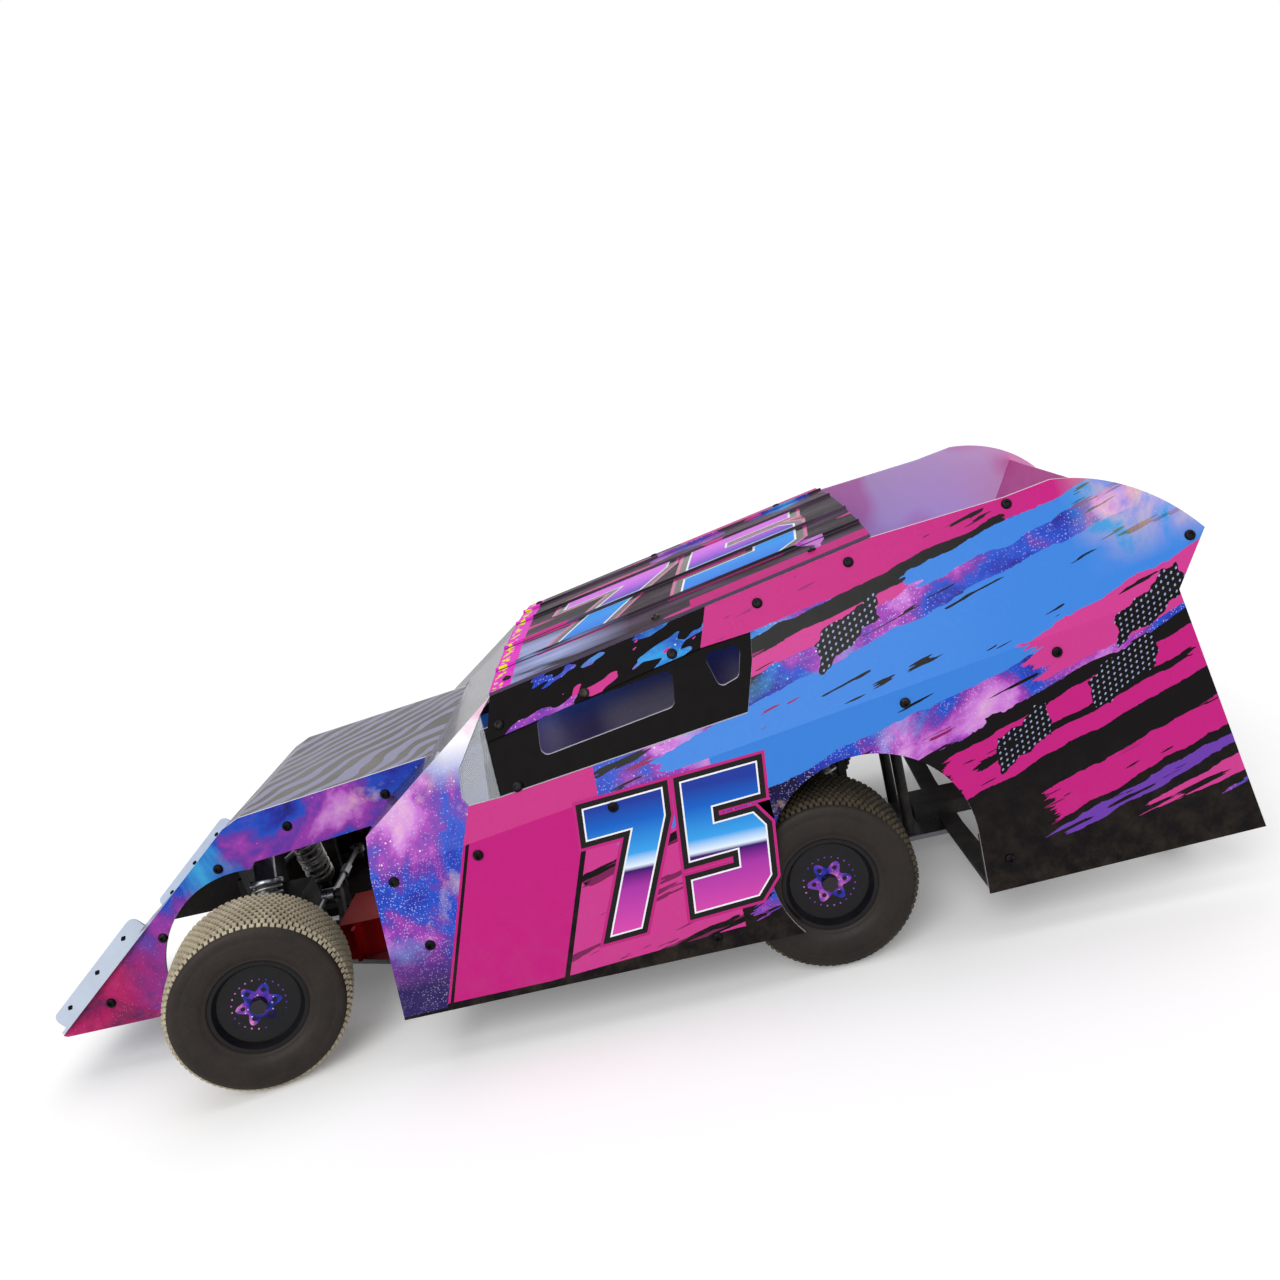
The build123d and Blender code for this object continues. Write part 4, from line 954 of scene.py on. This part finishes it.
def make_shock(end, side, sign):
    foot, head, tower = SHOCKS[end]
    foot = Vector((sign * foot[0], foot[1], foot[2])) * MM
    head = Vector((sign * head[0], head[1], head[2])) * MM
    length = (head - foot).length
    where = aim(foot, head - foot)
    low, high = SPRING_FOOT, length * SPRING_SHARE
    can = scaled([(0, 6), (4.4, 6), (4.9, 7)], low)
    can += scaled([(4.9, -1), (5.4, 0), (8.3, 0.2), (8.5, 0.8), (8.5, 2.4), (8.3, 3.0), (5.5, 3.0)], high)
    can += scaled([(5.5, -6), (5.0, -5), (3.0, -4.5), (2.6, 0), (0, 0)], length)
    body = lathe(can, where)
    shaft = lathe(scaled([(0, 2), (1.6, 2)]) + scaled([(1.6, 8), (0, 8)], low), where, 20)
    name = f"{end}_shock_{side}"
    both = combine([body, shaft])
    add_piece(f"shock_body_{end}_{side}", both, "shock", "root", replaces=(name,))
    coil = helix(where, COIL_RADIUS, low + 0.8 * MM, high - 0.5 * MM, SPRING_TURNS, WIRE_RADIUS)
    add_piece(f"shock_spring_{end}_{side}", coil, "spring", "root")
    eyes = []
    tower *= MM
    for point, reach in ((foot, (foot.y - 3 * MM, foot.y + 3 * MM)),
                         (head, (min(head.y - 3 * MM, tower), max(head.y + 3 * MM, tower)))):
        place = aim((point.x, reach[0], point.z), (0, 1, 0))
        span = reach[1] - reach[0]
        eye = scaled([(0, 0), (3.2, 0), (3.6, 0.5)]) + scaled([(3.6, -0.5), (3.2, 0), (0, 0)], span)
        eyes.append(lathe(eye, place, 24))
    cup = lathe(scaled([(1.7, -2), (7.8, -1.6), (8.0, 0), (6.4, 0), (6.2, -0.6), (1.7, 1)], low), where, 32)
    add_piece(f"shock_ends_{end}_{side}", combine(eyes + [cup]), "black", "root")


# Screws

def button_head(place, normal, radius, height):
    # A domed head with a round recess, at a place with an outward normal.
    where = aim(place, normal)
    recess = radius * 0.42
    return lathe([
        (0, -0.4 * MM), (radius, -0.4 * MM), (radius, 0.15 * MM), (radius * 0.93, height * 0.55),
        (radius * 0.72, height * 0.9), (radius * 0.5, height), (recess, height), (recess * 0.96, 0.35 * MM),
        (0, 0.3 * MM),
    ], where, 24)


def side_surface(y, z):
    # Place and normal on the left side's outer face, in metres.
    fold = FOLD_Z + FOLD_SLOPE * y
    if z <= fold:
        return Vector((SIDE_X, y, z)), Vector((1, 0, 0))
    normal = Vector((1, -LEAN * FOLD_SLOPE, LEAN)).normalized()
    return Vector((SIDE_X - LEAN * (z - fold), y, z)), normal


# Screws in millimetres: sides and nose as (y, z), roof as (x, y), nose plate as the way along its slope
SIDE_SCREWS = (
    (-97.2, 93.2), (-89.0, 59.7), (-57.4, 97.2), (7.0, 105.9), (145.4, 124.5), (216.8, 132.7), (90.4, 178.5),
    (135.4, 188.0), (287.1, 170.4), (3.9, 155.5), (-37.4, 149.5), (47.2, 164.5), (-34.0, 122.5), (40.0, 33.0),
    (180.0, 40.0), (212.0, 199.0),
)
NOSE_SCREWS = ((-269.7, 39.0), (-234.6, 67.1), (-198.1, 96.4), (-159.1, 110.6), (-108.1, 116.0))
ROOF_SCREWS = ((86.0, 42.8), (82.0, 121.4), (86.0, -31.8))
PLATE_SCREWS = (12.0, 36.0, 60.0)

# Lips of the nose plate: way along the slope, height, and where the slots are
LIP_REACH = (6.5 * MM, 76.0 * MM)
LIP_HEIGHT = 8.0 * MM
LIP_CORNER = 4.0 * MM
LIP_THICKNESS = 1.0 * MM
LIP_OUT = 1.9 * MM
LIP_SINK = 0.1 * MM
LIP_SLOTS = (17.0 * MM, 41.0 * MM, 64.0 * MM)
SLOT_RADII = (1.7 * MM, 0.9 * MM)
SLOT_LEVEL = 0.55 * LIP_HEIGHT

# Screw heads: radius and height
SIDE_HEAD = (2.5 * MM, 1.35 * MM)
ROOF_HEAD = (2.2 * MM, 1.1 * MM)
PLATE_HEAD = (2.0 * MM, 1.0 * MM)
LIP_HEAD = (1.5 * MM, 0.6 * MM)


def roof_top(x, y):
    # Place and normal on the roof's crown.
    half = SIDE_X - LEAN * (ROOF_FRONT[1] - FOLD_Z - FOLD_SLOPE * ROOF_FRONT[0])
    radius = (half * half + ROOF_CROWN * ROOF_CROWN) / (2 * ROOF_CROWN)
    drop = radius - math.sqrt(radius * radius - x * x)
    height = ROOF_FRONT[1] + ROOF_RISE * (y - ROOF_FRONT[0]) + ROOF_CROWN - drop + PANEL
    return Vector((x, y, height)), Vector((x / radius, -ROOF_RISE, 1)).normalized()


def make_screws():
    parts = []
    for _, sign in SIDES:
        for y, z in SIDE_SCREWS:
            place, normal = side_surface(y * MM, z * MM)
            place.x *= sign
            normal.x *= sign
            parts.append(button_head(place, normal, *SIDE_HEAD))
        for y, z in NOSE_SCREWS:
            parts.append(button_head((sign * NOSE_X, y * MM, z * MM), (sign, 0, 0), *SIDE_HEAD))
        for x, y in ROOF_SCREWS:
            place, normal = roof_top(sign * x * MM, y * MM)
            parts.append(button_head(place, normal, *ROOF_HEAD))
        for along in PLATE_SCREWS:
            place = Vector((sign * (NOSE_X - 5 * MM), *NOSE_TIP)) + NOSE_SLOPE * along * MM + NOSE_UP * PANEL
            parts.append(button_head(place, NOSE_UP, *PLATE_HEAD))
    add_piece("panel_screws", combine(parts), "screw", "root", smooth=False)


def make_plate_lips():
    # The nose plate's side edges are turned up along the nose, with a screw in each of three slots.
    length = LIP_REACH[1] - LIP_REACH[0]
    outline = [(0, 0), (length, 0), (length, LIP_HEIGHT - LIP_CORNER)]
    for middle, start in ((length - LIP_CORNER, 0), (LIP_CORNER, 90)):
        for step in range(1, 7):
            x, y = polar(LIP_CORNER, math.radians(start + 15 * step))
            outline.append((middle + x, LIP_HEIGHT - LIP_CORNER + y))
    centres = [(along - LIP_REACH[0], SLOT_LEVEL) for along in LIP_SLOTS]
    slots = [
        [(x + SLOT_RADII[0] * math.cos(turn), y + SLOT_RADII[1] * math.sin(turn)) for turn in turns(20)]
        for x, y in centres
    ]
    turn = Matrix((NOSE_SLOPE, NOSE_UP, NOSE_SLOPE.cross(NOSE_UP))).transposed().to_4x4()
    lift = NOSE_SLOPE * LIP_REACH[0] + NOSE_UP * (PANEL - LIP_SINK)
    for side, sign in SIDES:
        where = Matrix.Translation(Vector((sign * (NOSE_X + LIP_OUT), *NOSE_TIP)) + lift) @ turn
        lip = flat_curve(f"nose_plate_lip_{side}", [outline] + slots, LIP_THICKNESS, where, M["nose_plate"])
        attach(lip, "root")
        heads = [button_head(where @ Vector((*centre, 0)), (sign, 0, 0), *LIP_HEAD) for centre in centres]
        add_piece(f"nose_plate_screws_{side}", combine(heads), "screw", "root", smooth=False)


# Race number: outlines on a grid of DIGIT_WIDTH by DIGIT_HEIGHT units, stroke about 3.2
DIGIT_WIDTH = 10
DIGIT_HEIGHT = 14
SEVEN = [(0, 14), (10, 14), (10, 11.2), (5.3, 0), (1.5, 0), (5.9, 10.8), (0, 10.8)]
FIVE = [(0, 14), (9.6, 14), (9.6, 10.8), (3.4, 10.8), (3.4, 8.8), (8.6, 8.8), (10, 7.2), (10, 1.8), (8.2, 0),
        (0, 0), (0, 3.4), (6.4, 3.4), (6.4, 5.6), (0, 5.6)]
NUMBER = (SEVEN, FIVE)
DIGIT_GAP = 2.6
DIGIT_SLANT = 0.12

# Height, width and colours of the numbers; the stops run from foot to top.
# The starts are the lower left corners: (y, z) on each door, (x, y) on the roof.
DOOR_STARTS = {"left": (-0.0125, 0.0450), "right": (0.0755, 0.0503)}
DOOR_SLOPE = 0.06
ROOF_START = (0.062, -0.016)
ROOF_LIFT = 0.05 * MM
DOOR_NUMBER = (62 * MM, 88 * MM)
DOOR_FADE = (45 * MM, 107 * MM)
DOOR_STOPS = [
    (0.0, colour("d94fae")), (0.34, colour("a93aa6")), (0.47, colour("3b1a6e")), (0.50, colour("e4f1ff")),
    (0.60, colour("3fa2ea")), (0.85, colour("1f63c4")), (1.0, colour("2a3f9c")),
]
ROOF_NUMBER = (94 * MM, 144 * MM)
ROOF_FADE = (62 * MM, -34 * MM)
ROOF_STOPS = [
    (0.0, colour("1f78e6")), (0.30, colour("2f9cf4")), (0.42, colour("bfe8fb")), (0.46, colour("5a3ac0")),
    (0.62, colour("b04fe0")), (0.85, colour("e07af0")), (1.0, colour("f3a6f2")),
]


def bead_rise(x):
    # Height of the roof's pressed beads over its crown.
    for middle, drop in ROOF_BEADS:
        gap = abs(abs(x) - middle)
        if gap < ROOF_BEAD:
            return max(0.0, math.sqrt(ROOF_BEAD ** 2 - gap ** 2) - drop)
    return 0.0


def drape_on_roof(piece):
    # Bends a flat film down over the crown and up over the beads.
    work = bmesh.new()
    work.from_mesh(piece.data)
    cuts = [step * 8 * MM for step in range(-11, 12)]
    for middle, _ in ROOF_BEADS:
        for share in (-1.0, -0.7, 0.0, 0.7, 1.0):
            cuts += [middle + share * ROOF_BEAD, -middle - share * ROOF_BEAD]
    for cut in cuts:
        everything = work.verts[:] + work.edges[:] + work.faces[:]
        bmesh.ops.bisect_plane(work, geom=everything, plane_co=(cut, 0, 0), plane_no=(1, 0, 0))
    for vertex in work.verts:
        x, y, _ = vertex.co
        vertex.co.z += roof_top(x, y)[0].z - roof_top(0, y)[0].z + bead_rise(x)
    work.to_mesh(piece.data)
    work.free()


def make_number(name, where, height, width, fill):
    # Films, lowest first: pink and dark outlines, a white line and the coloured digits.
    # Each layer: name, material, spread in grid units, thickness.
    layers = (
        ("outline", M["outline"], 1.05, 0.10 * MM), ("edge", M["ink"], 0.75, 0.14 * MM),
        ("line", M["white_film"], 0.18, 0.18 * MM), ("fill", fill, 0.0, 0.22 * MM),
    )
    up = height / DIGIT_HEIGHT
    across = width / (2 * DIGIT_WIDTH + DIGIT_GAP + DIGIT_HEIGHT * DIGIT_SLANT)
    for part, material, spread, thickness in layers:
        for index, digit in enumerate(NUMBER):
            start = index * (DIGIT_WIDTH + DIGIT_GAP)
            outline = [((start + x + DIGIT_SLANT * y) * across, y * up) for x, y in digit]
            place = where @ Matrix.Translation((0, 0, index * 0.01 * MM))
            label = f"number_{name}_{part}_{index}"
            piece = flat_curve(label, [outline], thickness, place, material, spread * up)
            if name == "roof":
                drape_on_roof(piece)
            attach(piece, "root")


def make_numbers():
    fill = number_fill("number_door", 2, *DOOR_FADE, DOOR_STOPS)
    for side, sign in SIDES:
        # On the left the number reads towards the rear, on the right towards the nose.
        up = Vector((0, 0, 1))
        out = Vector((sign, 0, 0))
        start = Vector((sign * SIDE_X, *DOOR_STARTS[side]))
        slope = Vector((0, 1, DOOR_SLOPE)).normalized() * sign
        turn = Matrix((slope, up, out)).transposed().to_4x4()
        make_number(f"door_{side}", Matrix.Translation(start) @ turn, *DOOR_NUMBER, fill)
    roof_fill = number_fill("number_roof", 0, *ROOF_FADE, ROOF_STOPS)
    along = Vector((0, 1, ROOF_RISE)).normalized()
    across = Vector((-1, 0, 0))
    out = along.cross(across)
    turn = Matrix((along, across, out)).transposed().to_4x4()
    place, _ = roof_top(0.0, 0.0)
    start = Vector((*ROOF_START, place.z + ROOF_START[1] * ROOF_RISE + ROOF_LIFT))
    make_number("roof", Matrix.Translation(start) @ turn, *ROOF_NUMBER, roof_fill)


# Soft suns: name, direction from which it shines, strength, apparent size in degrees
SUNS = (("top", (-0.15, 0.1, 1.0), 0.8, 60), ("key", (1.0, -0.3, 0.75), 1.5, 40))
AMBIENT = 0.42
FLOOR_REACH = 8.0
FLOOR_LIFT = 0.14


def make_stage():
    # A plain white floor with the car's soft shadow on it; a faint glow, only for the camera, lifts it.
    g = Graph("stage_white")
    g.set(Base_Color=WHITE_FLOOR, Roughness=1.0, Specular_IOR_Level=0.0, Emission_Color=WHITE_FLOOR)
    path = g.nodes.new("ShaderNodeLightPath")
    g.set(Emission_Strength=g.times(path.outputs["Is Camera Ray"], FLOOR_LIFT))
    corners = [(x * FLOOR_REACH, y * FLOOR_REACH, 0) for x, y in ((-1, -1), (1, -1), (1, 1), (-1, 1))]
    mesh_object("stage_floor", corners, [(0, 1, 2, 3)], [g.material])


def make_lights():
    # The world is white to the camera, to glossy and to clear surfaces, and dimmer as a light.
    world = bpy.data.worlds.new("studio")
    bpy.context.scene.world = world
    world.use_nodes = True
    nodes, links = world.node_tree.nodes, world.node_tree.links
    nodes.clear()
    path = nodes.new("ShaderNodeLightPath")
    seen = path.outputs["Is Camera Ray"]
    for kind in ("Is Glossy Ray", "Is Transmission Ray"):
        either = nodes.new("ShaderNodeMath")
        either.operation = "MAXIMUM"
        links.new(seen, either.inputs[0])
        links.new(path.outputs[kind], either.inputs[1])
        seen = either.outputs[0]
    strength = nodes.new("ShaderNodeMapRange")
    strength.inputs["To Min"].default_value = AMBIENT
    links.new(seen, strength.inputs["Value"])
    white = nodes.new("ShaderNodeBackground")
    white.inputs[0].default_value = (1, 1, 1, 1)
    links.new(strength.outputs[0], white.inputs[1])
    out = nodes.new("ShaderNodeOutputWorld")
    links.new(white.outputs[0], out.inputs[0])
    for name, direction, power, width in SUNS:
        data = bpy.data.lights.new(name, "SUN")
        data.energy = power
        data.angle = math.radians(width)
        lamp = bpy.data.objects.new(name, data)
        lamp.matrix_world = aim((0, 0, 1), direction)
        bpy.context.scene.collection.objects.link(lamp)


def make_camera():
    data = bpy.data.cameras.new("camera")
    data.sensor_width = 36.0
    data.lens = CAMERA_LENS
    data.shift_x, data.shift_y = CAMERA_SHIFT
    data.clip_start = 0.02
    camera = bpy.data.objects.new("camera", data)
    camera.location = CAMERA_PLACE
    camera.rotation_euler = Euler([math.radians(a) for a in CAMERA_TURN])
    bpy.context.scene.collection.objects.link(camera)
    bpy.context.scene.camera = camera


dress_nodes()
for corner in ("front_left", "front_right", "rear_left", "rear_right"):
    make_tyre(corner)
    make_rim_trim(corner)
for end in SHOCKS:
    for side, sign in SIDES:
        make_shock(end, side, sign)
make_screws()
make_plate_lips()
make_numbers()
make_stage()
make_lights()
make_camera()
bpy.context.scene.view_settings.view_transform = "Standard"
